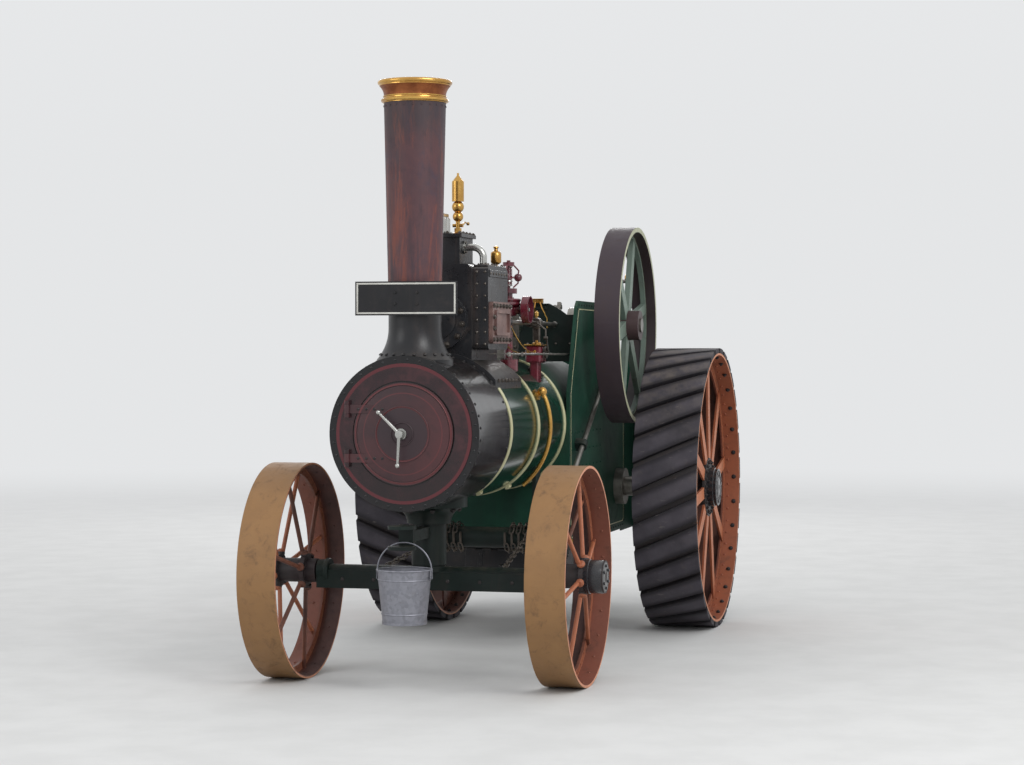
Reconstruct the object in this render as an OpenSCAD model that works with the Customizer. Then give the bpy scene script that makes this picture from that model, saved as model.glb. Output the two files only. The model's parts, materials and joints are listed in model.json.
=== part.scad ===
// Single-cylinder agricultural steam traction engine, built piece by piece.
// +X points forward, +Y to the engine's left (the flywheel side), +Z up, and the
// origin is on the ground under the middle of the whole engine.

/* [Frame and wheels] */
// Distance between the front and rear axles
wheelbase = 3045; // [2950:5:3150]
// Reach of the rear drawbar behind the rear axle
rear_reach = 1440; // [1425:5:1500]
// Diameter of the front wheels
front_wheel_d = 1190; // [1140:5:1230]
// Width of the front wheels' rims
front_rim_w = 216; // [190:2:230]
// Distance from the centre line to the front wheels' outer faces
front_track_y = 895; // [880:5:930]
// Diameter of the rear wheels over their rubber strakes
rear_wheel_d = 1830; // [1790:5:1870]
// Width of the rear wheels' rims
rear_rim_w = 406; // [380:2:430]
// Gap between the final gear and the rear wheel's hub
rear_wheel_gap = 22; // [18:1:40]
// Thickness of the wheel rim plates
rim_t = 14; // [10:1:18]
// Spokes in each of a rear wheel's two rows
rear_spokes = 10; // [8:1:12]
// Spokes in each of a front wheel's two rows
front_spokes = 6; // [5:1:8]
// Rubber strakes round each rear wheel
strakes = 32; // [28:1:34]
// Height of the rubber strakes above the rim
strake_h = 32; // [24:1:40]
// Width of one strake across its length
strake_w = 128; // [100:2:132]
// Slant of the strakes from the wheel's axis, in degrees
strake_slant = 24; // [15:1:28]

/* [Boiler] */
// Height of the boiler's centre line above the ground
boiler_z = 1370; // [1360:5:1380]
// Radius of the barrel over its cladding
barrel_r = 400; // [390:1:404]
// Step from the barrel's cladding out to the smokebox
smokebox_step = 12; // [8:1:20]
// Length of the smokebox
smokebox_len = 650; // [620:5:680]
// Reach of the smokebox's front ahead of the front axle
smokebox_lead = 480; // [460:5:490]
// Thickness of the smokebox wrapper and its front ring
smokebox_t = 12; // [8:1:16]
// Radius of the smokebox door
door_r = 272; // [260:1:285]
// Length of the firebox
firebox_len = 980; // [940:5:1000]
// Distance from the rear axle forward to the backhead
backhead_lead = 465; // [440:5:480]
// Width of the cladding bands
band_w = 46; // [36:1:60]
// Thickness of the cladding bands
band_t = 5; // [3:1:6]

/* [Chimney] */
// Height of the chimney's top above the ground
chimney_top_z = 3250; // [3150:5:3350]
// Radius of the chimney at its foot
chimney_foot_r = 142; // [135:1:150]
// Radius of the chimney under its cap
chimney_head_r = 166; // [155:1:175]
// Thickness of the chimney plate
chimney_t = 6; // [4:1:8]
// Largest radius of the brass cap
cap_r = 200; // [190:1:210]

/* [Engine] */
// Height of the crankshaft
crank_z = 1975; // [1970:1:2000]
// Distance from the rear axle forward to the crankshaft
crank_lead = 510; // [500:5:520]
// Crank throw, half of the stroke
crank_throw = 125; // [110:1:130]
// Radius of the crankshaft
crank_r = 45; // [40:1:50]
// Radius of the flywheel
flywheel_r = 627; // [600:1:650]
// Width of the flywheel's face
flywheel_w = 158; // [140:1:160]
// Thickness of the flywheel's rim
flywheel_rim_t = 30; // [24:1:40]
// Gap between the crankshaft's left bearing and the flywheel's hub
flywheel_gap = 18; // [14:1:22]
// Spokes of the flywheel
flywheel_spokes = 6; // [5:1:8]
// Outside radius of the cylinder's covers
cylinder_r = 165; // [155:1:172]
// Length of the cylinder casting
cylinder_len = 560; // [520:5:580]

/* [Gears] */
// Teeth of the crankshaft pinion
crank_teeth = 26; // [26:1:26]
// Teeth of the second shaft's large gear
spur_teeth = 80; // [80:1:80]
// Teeth of the second shaft's pinion
pinion_teeth = 16; // [16:1:16]
// Teeth of the final gear on the rear axle
final_teeth = 72; // [72:1:72]
// Module of the first pair of gears
first_module = 10; // [10:0.1:10.2]
// Module of the final pair of gears
final_module = 15; // [15:0.1:15.2]

/* [Tender] */
// Height of the footplate
footplate_z = 800; // [780:5:840]
// Outside half width of the tender
tender_half_w = 600; // [580:5:620]
// Length of the tender tank and coal bunker
tender_len = 650; // [600:5:680]
// Height of the coal bunker's rim
bunker_top_z = 1750; // [1700:5:1800]
// Thickness of the tender plates
tender_t = 8; // [6:1:10]

/* [Hidden] */
$fn = 64;
// facets of the large circles that other pieces are cut to
fine_fn = 240;
// gap between curved faces that are bolted together
seat_gap = 0.3;
// radial clearance of a shaft that turns in its bearing
run_fit = 0.05;
// clearance between a part that turns and its neighbours
swing_gap = 6;
// past both faces of what a cut goes through
cut = 1;

front_wheel_r = front_wheel_d / 2;
rear_wheel_r = rear_wheel_d / 2;
coupling_lead = 515;
// the bail hangs this far behind the coupling's pin hole
bail_back = 45;
bucket_lead = coupling_lead - bail_back;
bucket_top_r = 145;
bucket_bead = 5;
front_reach = max(front_wheel_r, bucket_lead + bucket_top_r + bucket_bead);
front_axle_x = (wheelbase + rear_reach - front_reach) / 2;
rear_axle_x = front_axle_x - wheelbase;
tail_x = rear_axle_x - rear_reach;

// smokebox, barrel and firebox along X
smokebox_front_x = front_axle_x + smokebox_lead;
smokebox_rear_x = smokebox_front_x - smokebox_len;
smokebox_r = barrel_r + smokebox_step;
backhead_x = rear_axle_x + backhead_lead;
throat_x = backhead_x + firebox_len;
smokebox_hole_r = door_r - 22;
front_ring_r = smokebox_r - 40;
front_ring_t = 7;
firebox_low_z = 620;
firebox_half_w = barrel_r + band_t;
firebox_wall = 70;
firehole_r = 130;
firehole_z = boiler_z - 120;

// chimney and its saddle
chimney_x = front_axle_x + 270;
saddle_top_z = boiler_z + 694;
saddle_foot_r = 205;
saddle_flare_r = 260;
saddle_flare_z = boiler_z + 560;
saddle_bead = 12;
cap_h = 120;
flue_r = chimney_foot_r - 20;
plate_w = 560;
plate_h = 180;
plate_t = 5;
plate_z = boiler_z + 715;
plate_gap = 26;

// cylinder, valve chest and motion
cylinder_gap = 20;
cylinder_front_x = smokebox_rear_x - cylinder_gap;
cylinder_rear_x = cylinder_front_x - cylinder_len;
block_half_w = 190;
block_corner_r = 40;
block_top_z = crank_z + 315;
cover_t = 25;
chest_len = 440;
chest_y = 280;
chest_cover = 22;
chest_low_z = crank_z - 160;
chest_top_z = crank_z + 300;
chest_setback = 12;
chest_x = cylinder_front_x - chest_setback - chest_len;
chest_corner_r = 30;
// plate over the valve chest's port, with its centre's height
port_cover_w = 400;
port_cover_h = 232;
port_cover_z = crank_z - 10;
turret_len = 280;
turret_half_w = 110;
turret_setback = 40;
turret_x = cylinder_front_x - turret_setback - turret_len;
turret_top_z = crank_z + 465;
turret_flange = 20;
turret_lip = 15;
gland_r = 62;
gland_len = 60;
valve_gland_r = 32;
rod_r = 22;
bar_h = 25;
bar_w = 64;
bar_z = 70;
// the motion bracket stands ahead of the firebox, and the crosshead at mid stroke ahead of it
bracket_t = 30;
bracket_half_w = 130;
bracket_lead = 105;
bracket_x = throat_x + bracket_lead;
crosshead_lead = 265;
crosshead_x = bracket_x + crosshead_lead;
crosshead_half = 60;
valve_y = 262;
valve_rod_r = 13;
link_setback = 420;
link_x = throat_x - link_setback;

// crankshaft and flywheel
crank_x = rear_axle_x + crank_lead;
crank_pin_r = 35;
big_end_r = 55;
web_r = 55;
web_y0 = 50;
web_y1 = 105;
eccentric_r = 88;
eccentric_throw = 28;
eccentric_ys = [[178, 90], [238, -90]];
eccentric_w = 46;
flywheel_hub_r = 95;
flywheel_hub_w = 184;
spectacle_setback = 300;
spectacle_x = throat_x - spectacle_setback;
spectacle_t = 12;

// hornplates
horn_t = 18;
horn_y = firebox_half_w;
horn_out_y = horn_y + horn_t;
bearing_half = 88;
bearing_w = 56;
spigot_r = 70;
flywheel_mid_y = horn_out_y + bearing_w + flywheel_gap + flywheel_hub_w / 2;
flywheel_y = flywheel_mid_y + flywheel_w / 2;
axle_r = 65;
axle_box_r = 120;
axle_box_w = 60;

// gear train on the right-hand side: centre distances give the second shaft's place
first_reach = first_module * (crank_teeth + spur_teeth) / 2;
final_reach = final_module * (pinion_teeth + final_teeth) / 2;
shaft_span = norm([crank_lead, crank_z - rear_wheel_r]);
span_angle = atan2(crank_z - rear_wheel_r, crank_lead);
shaft_angle = span_angle
    + acos((final_reach^2 + shaft_span^2 - first_reach^2) / (2 * final_reach * shaft_span));
second_x = rear_axle_x + final_reach * cos(shaft_angle);
second_z = rear_wheel_r + final_reach * sin(shaft_angle);
second_r = 40;
spur_gap = 12;
spur_y = -(horn_out_y + spur_gap);
spur_w = 60;
final_gap = 22;
final_y = spur_y - spur_w - final_gap;
final_w = 110;
// the pinion stands this far out of mesh
pinion_slide = 14;
crank_pinion_y = spur_y - spur_w - pinion_slide;
gear_hub_r = 90;
final_hub_r = 190;
rear_hub_in = 55;
// from the centre line to the rear wheels' outer faces
rear_track_y = final_w - final_y + rear_wheel_gap + rear_hub_in + rear_rim_w;
gear_web = 24;

// front axle and steering
beam_top_z = front_wheel_r + 10;
beam_h = 100;
beam_half_t = 55;
stub_r = 38;
front_hub_r = 88;
front_hub_out = 90;
front_hub_in = 40;
kingpin_r = 30;
kingpin_top_z = beam_top_z + 190;
perch_low_z = beam_top_z + 36;
perch_foot_r = 95;
coupling_z = perch_low_z + 184;
coupling_x = front_axle_x + coupling_lead;
coupling_pin_r = 17;
coupling_gap = 90;
coupling_jaw_t = 18;
coupling_jaw_r = 75;
coupling_arm_half_w = 40;
chain_barrel_lead = 380;
chain_barrel_x = throat_x + chain_barrel_lead;
chain_barrel_z = 700;
chain_barrel_r = 62;
chain_barrel_half = 320;
worm_wheel_r = 120;
worm_r = 28;
worm_gap = 8;
worm_reach = worm_wheel_r + worm_r + worm_gap;
steer_gap = 44;
steer_y = horn_out_y + steer_gap;
worm_plate_gap = 30;
worm_plate_y = steer_y - worm_plate_gap;
steer_r = 16;
steer_pitch = 32;
steer_len = 2490;
steering_wheel_r = 180;
chain_y = 262;
chain_axle_y = 360;
link_pitch = 62;
link_wire = 10;
link_w = 38;
chain_eye_r = 24;
chain_eye_hole_r = 12;
chain_eye_t = 16;
chain_eye_drop = 40;
chain_eye_lead = 22;

// tender, drawbar and footplate
footplate_t = 10;
horn_rear_reach = 260;
horn_rear_x = rear_axle_x - horn_rear_reach;
footplate_reach = 650;
tender_front_x = rear_axle_x - footplate_reach;
tender_rear_x = tender_front_x - tender_len;
tender_low_z = 600;
tank_top_z = 1200;
tender_corner_r = 110;
drawbar_z = 740;
drawbar_pin_r = 20;
drawbar_plate_t = 22;
drawbar_gap = 70;
drawbar_half_w = 60;

// rear wheels
rear_hub_r = 120;
rear_flange_r = 190;
rear_ring_y = 95;
rear_rim_r = rear_wheel_r - strake_h;
rear_mid_y = rear_track_y - rear_rim_w / 2;
front_mid_y = front_track_y - front_rim_w / 2;

// bucket on the front coupling
bucket_x = front_axle_x + bucket_lead;
bucket_h = 290;
bail_r = 4;
bail_arch_r = bucket_top_r + bail_r;
bail_drop = 10;
// the bail rests across the coupling's lower jaw
bail_rise = sqrt(bail_arch_r^2 - coupling_jaw_r^2 + bail_back^2);
bucket_low_z = coupling_z - coupling_gap / 2 + bail_r - bail_rise - bucket_h + bail_drop;
bucket_low_r = 115;
bucket_t = 2;

// shared shapes
module box(x, y, z) translate([x[0], y[0], z[0]]) cube([x[1] - x[0], y[1] - y[0], z[1] - z[0]]);
module along_x(x0, x1, r, fn = $fn) translate([x0, 0, 0]) rotate([0, 90, 0])
    cylinder(r = r, h = x1 - x0, $fn = fn);
module along_y(y0, y1, r) translate([0, y0, 0]) rotate([-90, 0, 0]) cylinder(r = r, h = y1 - y0);
module ring_y(y0, y1, r_out, r_in) difference() {
    along_y(y0, y1, r_out);
    along_y(y0 - cut, y1 + cut, r_in);
}
module turned_y() rotate([-90, 0, 0]) rotate_extrude() children();
module turned_x() rotate([0, 90, 0]) rotate_extrude() children();
module side_plate(y0, y1) translate([0, y1, 0]) rotate([90, 0, 0]) linear_extrude(y1 - y0) children();
module cross_plate(x0, x1) translate([x0, 0, 0]) rotate([90, 0, 90]) linear_extrude(x1 - x0) children();
module mirrored(left) mirror([0, left ? 0 : 1, 0]) children();
module both_sides() for (left = [true, false]) mirrored(left) children();
module at_boiler() translate([0, 0, boiler_z]) children();
module at_crank() translate([crank_x, 0, crank_z]) children();
module at_second() translate([second_x, 0, second_z]) children();
module at_rear_axle() translate([rear_axle_x, 0, rear_wheel_r]) children();
module at_front_axle() translate([front_axle_x, 0, front_wheel_r]) children();
module barrel_cut() at_boiler() along_x(throat_x - cut, smokebox_rear_x, barrel_r + seat_gap, fine_fn);
module rounded(x, y, r) {
    square_between([x[0] + r, y[0]], [x[1] - r, y[1]]);
    square_between([x[0], y[0] + r], [x[1], y[1] - r]);
    for (cx = [x[0] + r, x[1] - r], cy = [y[0] + r, y[1] - r]) translate([cx, cy]) circle(r);
}
module square_between(a, b) translate(a) square(b - a);

// gear outline: trapezium teeth, the first tooth's middle at the given angle
// one tooth's corners: share of the pitch, modules above the pitch circle
tooth_outline = [[-0.31, -1.2], [-0.12, 0.95], [0.12, 0.95], [0.31, -1.2]];
function gear_points(teeth, module_mm, phase) = [
    for (i = [0:teeth - 1], p = tooth_outline)
        let (a = phase + (i + p[0]) * 360 / teeth, r = module_mm * (teeth / 2 + p[1]))
            [r * cos(a), r * sin(a)]
];
module gear(teeth, module_mm, phase, y0, y1) side_plate(y0, y1) polygon(gear_points(teeth, module_mm, phase));

module smokebox() color("#1d1d1f") difference() {
    union() {
        at_boiler() translate([smokebox_front_x, 0, 0]) turned_x() {
            square_between([smokebox_hole_r, -smokebox_t], [smokebox_r, 0]);
            square_between([door_r + door_ring_gap, -cut], [front_ring_r, front_ring_t]);
            square_between([smokebox_r - smokebox_t, -smokebox_len], [smokebox_r, 0]);
            square_between([barrel_r - tubeplate_lap, -smokebox_len],
                [smokebox_r, smokebox_t - smokebox_len]);
        }
        // hinge lugs with their pin on the right-hand side of the door
        translate([door_hinge_x, -door_hinge_y, boiler_z]) {
            for (z = door_lug_z, side = [-1, 1]) translate([0, 0, side * z - door_lug_h / 2]) {
                cylinder(r = door_lug_r, h = door_lug_h);
                translate([smokebox_front_x - door_hinge_x, -door_lug_r, 0])
                    cube([door_hinge_x - smokebox_front_x, 2 * door_lug_r, door_lug_h]);
            }
            for (side = [-1, 1]) translate([0, 0, side * (door_lug_z[0] + door_lug_z[1]) / 2])
                cylinder(r = door_pin_r, h = door_lug_z[1] - door_lug_z[0], center = true);
        }
    }
    translate([chimney_x, 0, boiler_z]) cylinder(r = flue_r, h = smokebox_r + cut);
}
door_ring_gap = 8;
tubeplate_lap = 60;
door_hinge_lead = 24;
door_hinge_x = smokebox_front_x + door_hinge_lead;
door_hinge_offset = 34;
door_hinge_y = door_r + door_hinge_offset;
door_lug_z = [95, 165];
door_lug_h = 22;
door_lug_r = 15;
door_pin_r = 8;
door_t = 14;
door_crown = 34;
door_gap = 1;
door_face_x = smokebox_front_x + door_gap;
// hinge straps: height of the knuckles' clearance, thickness, and depth let into the door
knuckle_gap = 2;
strap_t = 12;
strap_sink = 4;
door_flange = 20;

module smokebox_door() color("#4a1f22") {
    translate([door_face_x, 0, boiler_z]) turned_x() {
        square_between([0, 0], [door_r, door_t]);
        intersection() {
            translate([0, door_crown - door_dish_r]) circle(door_dish_r, $fn = 4 * fine_fn);
            square_between([0, 0], [door_r - door_flange, door_crown]);
        }
    }
    for (side = [-1, 1])
        translate([door_hinge_x, -door_hinge_y, boiler_z + side * (door_lug_z[0] + door_lug_z[1]) / 2])
            difference() {
                union() {
                    cylinder(r = door_lug_r, h = door_knuckle_h, center = true);
                    translate([door_face_x + door_t - strap_sink - door_hinge_x, 0, -door_knuckle_h / 2])
                        cube([strap_t, door_strap_len, door_knuckle_h]);
                }
                cylinder(r = door_pin_r + run_fit, h = door_knuckle_h + 2 * cut, center = true);
            }
}
door_dish_r = (door_r^2 + (door_crown - door_t)^2) / (2 * (door_crown - door_t));
door_knuckle_h = door_lug_z[1] - door_lug_z[0] - door_lug_h - knuckle_gap;
door_strap_len = 0.9 * door_r;

// two bright handles on the door's centre spindle, set like clock hands
module door_handles() color("#c8c8c4") translate([door_face_x + door_crown + seat_gap, 0, boiler_z]) {
    along_x(0, spindle_boss_len, spindle_boss_r);
    along_x(spindle_boss_len, spindle_len, spindle_r);
    for (h = handle_table) translate([h[0], 0, 0]) rotate([h[1], 0, 0]) {
        along_x(-handle_hub_half, handle_hub_half, handle_hub_r);
        translate([0, 0, handle_root_r]) cylinder(r1 = handle_root_r, r2 = handle_tip_r, h = handle_len);
        translate([0, 0, handle_len + handle_knob_r + 1]) sphere(handle_knob_r);
    }
}
spindle_boss_r = 30;
spindle_boss_len = 26;
spindle_r = 14;
spindle_len = 62;
handle_hub_r = 20;
handle_hub_half = 7;
handle_root_r = 10;
handle_tip_r = 7;
handle_knob_r = 13;
handle_len = 150;
// place along the spindle, angle from upright
handle_table = [[38, 46], [54, 177]];

module chimney_saddle() color("#2a2a2c") translate([chimney_x, 0, 0]) difference() {
    rotate_extrude() {
        difference() {
            square_between([flue_r, boiler_z], [saddle_foot_r, saddle_top_z]);
            translate([chimney_foot_r + saddle_flare_r, saddle_flare_z]) circle(saddle_flare_r);
            square_between([chimney_foot_r, saddle_flare_z], [saddle_foot_r + cut, saddle_top_z + cut]);
        }
        translate([chimney_foot_r, saddle_top_z - saddle_bead]) circle(saddle_bead);
    }
    translate([-chimney_x, 0, boiler_z])
        along_x(smokebox_rear_x - cut, smokebox_front_x + cut, smokebox_r + seat_gap, fine_fn);
}

module chimney() color("#4c2a2a") translate([chimney_x, 0, 0]) rotate_extrude() {
    polygon([[chimney_foot_r - chimney_t, saddle_top_z], [chimney_foot_r, saddle_top_z],
             [chimney_head_r, chimney_top_z - cap_h], [chimney_head_r - chimney_t, chimney_top_z - cap_h]]);
}

module chimney_cap() color("#b88a3c") translate([chimney_x, 0, chimney_top_z - cap_h]) rotate_extrude() {
    difference() {
        square_between([chimney_head_r - chimney_t, 0], [cap_r - cap_lip_r + 2, cap_h - cap_lip_r + 4]);
        translate([chimney_head_r + cap_cove_r, cap_cove_z]) circle(cap_cove_r);
        square_between([chimney_head_r + cap_skirt_t, -cut], [cap_r, cap_cove_z]);
    }
    translate([chimney_head_r, cap_bead_z]) circle(cap_bead_r);
    translate([cap_r - cap_lip_r, cap_h - cap_lip_r]) circle(cap_lip_r);
}
cap_cove_r = 75;
cap_cove_z = 0.3 * cap_h;
cap_skirt_t = 4;
cap_bead_r = 9;
cap_bead_z = 12;
cap_lip_r = 12;

module number_plate() color("#1b1b1d") {
    translate([chimney_x, 0, plate_z])
        box([plate_x, plate_x + plate_t], [-plate_w, plate_w] / 2, [-plate_h, plate_h] / 2);
    // strap round the chimney with two arms to the plate
    translate([chimney_x, 0, strap_z]) difference() {
        union() {
            cylinder(r = strap_r, h = strap_h);
            for (side = [-1, 1]) translate([0, side * plate_arm_y - plate_arm_w / 2, 0])
                cube([plate_x, plate_arm_w, strap_h]);
        }
        translate([0, 0, saddle_top_z - strap_z])
            cylinder(r1 = chimney_foot_r + seat_gap, r2 = chimney_head_r + seat_gap,
                h = chimney_top_z - cap_h - saddle_top_z);
    }
}
strap_z = plate_z + 20;
strap_h = 28;
strap_r = chimney_foot_r + 8;
plate_arm_y = 60;
plate_arm_w = 20;
plate_x = chimney_foot_r + plate_gap;

module boiler_barrel() color("#173a2c") at_boiler() along_x(throat_x, smokebox_rear_x, barrel_r);

// cladding bands, left open where the cylinder stands on the barrel
module boiler_bands() color("#d8d0a8") difference() {
    at_boiler() for (x = band_xs) difference() {
        along_x(x - band_w / 2, x + band_w / 2, barrel_r + band_t);
        along_x(x - band_w / 2 - cut, x + band_w / 2 + cut, barrel_r + seat_gap);
    }
    box([cylinder_rear_x - foot_lap - 5, cylinder_front_x + foot_lap + 5], [-foot_half_w, foot_half_w],
        [boiler_z, crank_z]);
}
// saddle flange of the cylinder casting along the barrel
foot_half_w = 330;
foot_lap = 15;
foot_t = 32;
band_gap = 2;
band_setback = 80;
band_spacing = 650;
band_xs = [smokebox_rear_x - band_setback, smokebox_rear_x - band_setback - band_spacing,
           throat_x + band_w / 2 + band_gap];

module cylinder_block() color("#232325") {
    difference() {
        union() {
            translate([0, 0, crank_z]) {
                along_x(cylinder_rear_x - cover_t, cylinder_front_x + cover_t, cylinder_r);
                along_x(cylinder_rear_x - cover_t - gland_len, cylinder_rear_x, gland_r);
            }
            cross_plate(cylinder_rear_x, cylinder_front_x) {
                rounded([-block_half_w, block_half_w], [boiler_z, block_top_z], block_corner_r);
                square_between([-block_half_w, boiler_z], [block_half_w, crank_z]);
            }
            cross_plate(cylinder_rear_x - foot_lap, cylinder_front_x + foot_lap) intersection() {
                translate([0, boiler_z]) circle(barrel_r + foot_t, $fn = fine_fn);
                square_between([-foot_half_w, boiler_z], [foot_half_w, crank_z]);
            }
            side_plate(0, chest_y)
                rounded([chest_x, chest_x + chest_len], [chest_low_z, chest_top_z], chest_corner_r);
            box([turret_x, turret_x + turret_len], [-turret_half_w, turret_half_w],
                [block_top_z - cut, turret_top_z]);
            box([turret_x - turret_lip, turret_x + turret_len + turret_lip],
                [-turret_half_w - turret_lip, turret_half_w + turret_lip],
                [turret_top_z, turret_top_z + turret_flange]);
            translate([0, valve_y, crank_z]) along_x(chest_x - gland_len, chest_x, valve_gland_r);
        }
        barrel_cut();
        translate([0, 0, crank_z])
            along_x(cylinder_rear_x - cover_t - gland_len - cut, cylinder_rear_x, rod_r + run_fit);
        translate([0, valve_y, crank_z])
            along_x(chest_x - gland_len - cut, chest_x, valve_rod_r + run_fit);
    }
}

// bolted cover on the outside of the valve chest
module chest_cover() color("#7d5a50") {
    side_plate(chest_y, chest_y + chest_cover) port_outline(0, 24);
    side_plate(chest_y + chest_cover - cut, chest_y + chest_cover + cover_rib_h) difference() {
        port_outline(cover_rib_inset, 20);
        port_outline(cover_rib_inset + cover_rib_w, 6);
    }
}
module port_outline(inset, r) translate([chest_x + chest_len / 2, port_cover_z])
    rounded((port_cover_w / 2 - inset) * [-1, 1], (port_cover_h / 2 - inset) * [-1, 1], r);
cover_rib_h = 12;
cover_rib_w = 18;
cover_rib_inset = 45;

// bent steam pipe from the steam chest down to the governor
module steam_pipe() color("#a9a7a0") translate([pipe_x, 0, 0]) {
    translate([0, turret_half_w, pipe_z]) along_y(0, pipe_y - turret_half_w - pipe_bend, pipe_r);
    translate([0, pipe_y - pipe_bend, pipe_z - pipe_bend]) rotate([90, 0, 90])
        rotate_extrude(angle = 90) translate([pipe_bend, 0]) circle(pipe_r);
    translate([0, pipe_y, chest_top_z + seat_gap]) cylinder(r = pipe_r, h = pipe_z - pipe_bend - chest_top_z);
    translate([0, pipe_y, chest_top_z + seat_gap]) cylinder(r = pipe_flange_r, h = pipe_flange_t);
    translate([0, turret_half_w + seat_gap, pipe_z]) along_y(0, pipe_flange_t, pipe_flange_r);
}
pipe_r = 20;
pipe_flange_r = pipe_r + 16;
pipe_flange_t = 12;
pipe_bend = 60;
pipe_x = turret_x + turret_len - 80;
pipe_y = chest_y - 55;
pipe_z = turret_top_z - 55;

module at_turret_top(x, y) translate([turret_x + x, y, turret_top_z + turret_flange]) children();
module safety_valve() color("#b9b9b4") at_turret_top(turret_len - 75, 0) {
    for (side = [-1, 1]) translate([side * valve_spacing / 2, 0, 0]) {
        cylinder(r = valve_flange_r, h = valve_flange_t);
        cylinder(r = valve_r, h = valve_h);
        translate([0, 0, valve_h]) cylinder(r1 = valve_r, r2 = valve_tip_r, h = 16);
    }
    box((valve_spacing / 2 + 25) * [-1, 1], valve_bar_w / 2 * [-1, 1], [valve_h + 12, valve_h + 30]);
    cylinder(r = valve_link_r, h = valve_h + 12);
}
valve_spacing = 90;
valve_flange_r = 30;
valve_flange_t = 14;
valve_r = 22;
valve_tip_r = 8;
valve_h = 84;
valve_bar_w = 14;
valve_link_r = 12;

// whistle: stem, two balls, bell with its domed top and nut, as heights above the steam chest
module whistle() color("#c79a4b") at_turret_top(60, 40) {
    cylinder(r = 24, h = 12);
    cylinder(r = 12, h = whistle_ball_z[0]);
    translate([0, 0, whistle_ball_z[0]]) sphere(30);
    translate([0, 0, whistle_ball_z[1]]) sphere(bell_r);
    translate([0, 0, bell_low]) cylinder(r = bell_r, h = bell_h);
    translate([0, 0, bell_low + bell_h]) cylinder(r1 = bell_r, r2 = 6, h = 34);
    translate([0, 0, bell_low + bell_h + 34]) cylinder(r = 6, h = 14);
}
whistle_ball_z = [105, 160];
bell_r = 34;
bell_low = 190;
bell_h = 112;

// spring governor on a column that stands on the barrel
module governor() color("#5a1e28") difference() {
    translate([governor_x, governor_y, 0]) {
        translate([0, 0, boiler_z]) cylinder(r = governor_column_r, h = governor_body_z - boiler_z);
        translate([0, 0, boiler_z]) cylinder(r = governor_foot_r, h = governor_foot_z - boiler_z);
        translate([0, 0, governor_body_z]) cylinder(r = governor_body_r, h = governor_body_h);
        translate([0, 0, governor_body_z + governor_body_h]) cylinder(r = 11, h = governor_spindle_len);
        translate([0, 0, governor_cap_z]) cylinder(r = governor_cap_r, h = governor_cap_h);
        translate([0, 0, governor_ball_z]) for (a = [0:120:240]) rotate([0, 0, a]) {
            translate([governor_reach, 0, 0]) sphere(governor_ball_r);
            along_x(0, governor_reach, 6);
        }
    }
    barrel_cut();
}
governor_x = cylinder_rear_x - 290;
governor_y = 185;
governor_column_r = 24;
governor_foot_r = 55;
governor_foot_h = 34;
governor_foot_z = boiler_z + sqrt(barrel_r^2 - governor_y^2) + governor_foot_h;
governor_body_z = crank_z + 170;
governor_body_r = 50;
governor_body_h = 30;
governor_spindle_len = 165;
governor_cap_z = crank_z + 330;
governor_cap_r = 34;
governor_cap_h = 24;
governor_ball_z = crank_z + 265;
governor_ball_r = 24;
governor_reach = 58;

// two slide bars between the cylinder's rear cover and the motion bracket
module slide_bars() color("#a5a5a2") {
    difference() {
        for (side = [-1, 1]) box([bracket_x, cylinder_rear_x - cover_t], [-bar_w / 2, bar_w / 2],
            [crank_z + side * bar_z - bar_h / 2, crank_z + side * bar_z + bar_h / 2]);
        translate([0, 0, crank_z])
            along_x(cylinder_rear_x - cover_t - gland_len - cut, cylinder_rear_x, gland_r + seat_gap);
    }
    difference() {
        cross_plate(bracket_x - bracket_t, bracket_x) {
            square_between([-bracket_half_w, boiler_z], [bracket_half_w, bracket_arch_z]);
            translate([0, bracket_arch_z]) circle(bracket_half_w);
        }
        barrel_cut();
        translate([0, 0, crank_z]) along_x(bracket_x - bracket_t - cut, bracket_x + cut, bracket_eye_r);
    }
}
bracket_arch_z = crank_z + 30;
bracket_eye_r = 58;

// crosshead, piston rod and connecting rod; the rod stops where the big end swings clear
module connecting_rod() color("#b4b4b0") translate([0, 0, crank_z]) {
    along_x(crosshead_x, cylinder_rear_x - cut, rod_r);
    difference() {
        box([crosshead_x - crosshead_half, crosshead_x + crosshead_half], [-bar_w / 2, bar_w / 2],
            (bar_z - bar_h / 2 - seat_gap) * [-1, 1]);
        box([crosshead_x - crosshead_half - cut, crosshead_x + little_end_r + 1],
            (little_end_half_w + 1) * [-1, 1], [-bar_z, bar_z]);
    }
    translate([crosshead_x, 0, 0]) along_y(-bar_w / 2 - 8, bar_w / 2 + 8, gudgeon_r);
    translate([crosshead_x, 0, 0]) along_y(-little_end_half_w, little_end_half_w, little_end_r);
    translate([crank_x + crank_throw + big_end_r + swing_gap, 0, 0]) rotate([0, 90, 0])
        cylinder(r1 = 27, r2 = 19, h = crosshead_x - crank_x - crank_throw - big_end_r - swing_gap);
}
gudgeon_r = 18;
little_end_r = 33;
little_end_half_w = 19;

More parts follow.
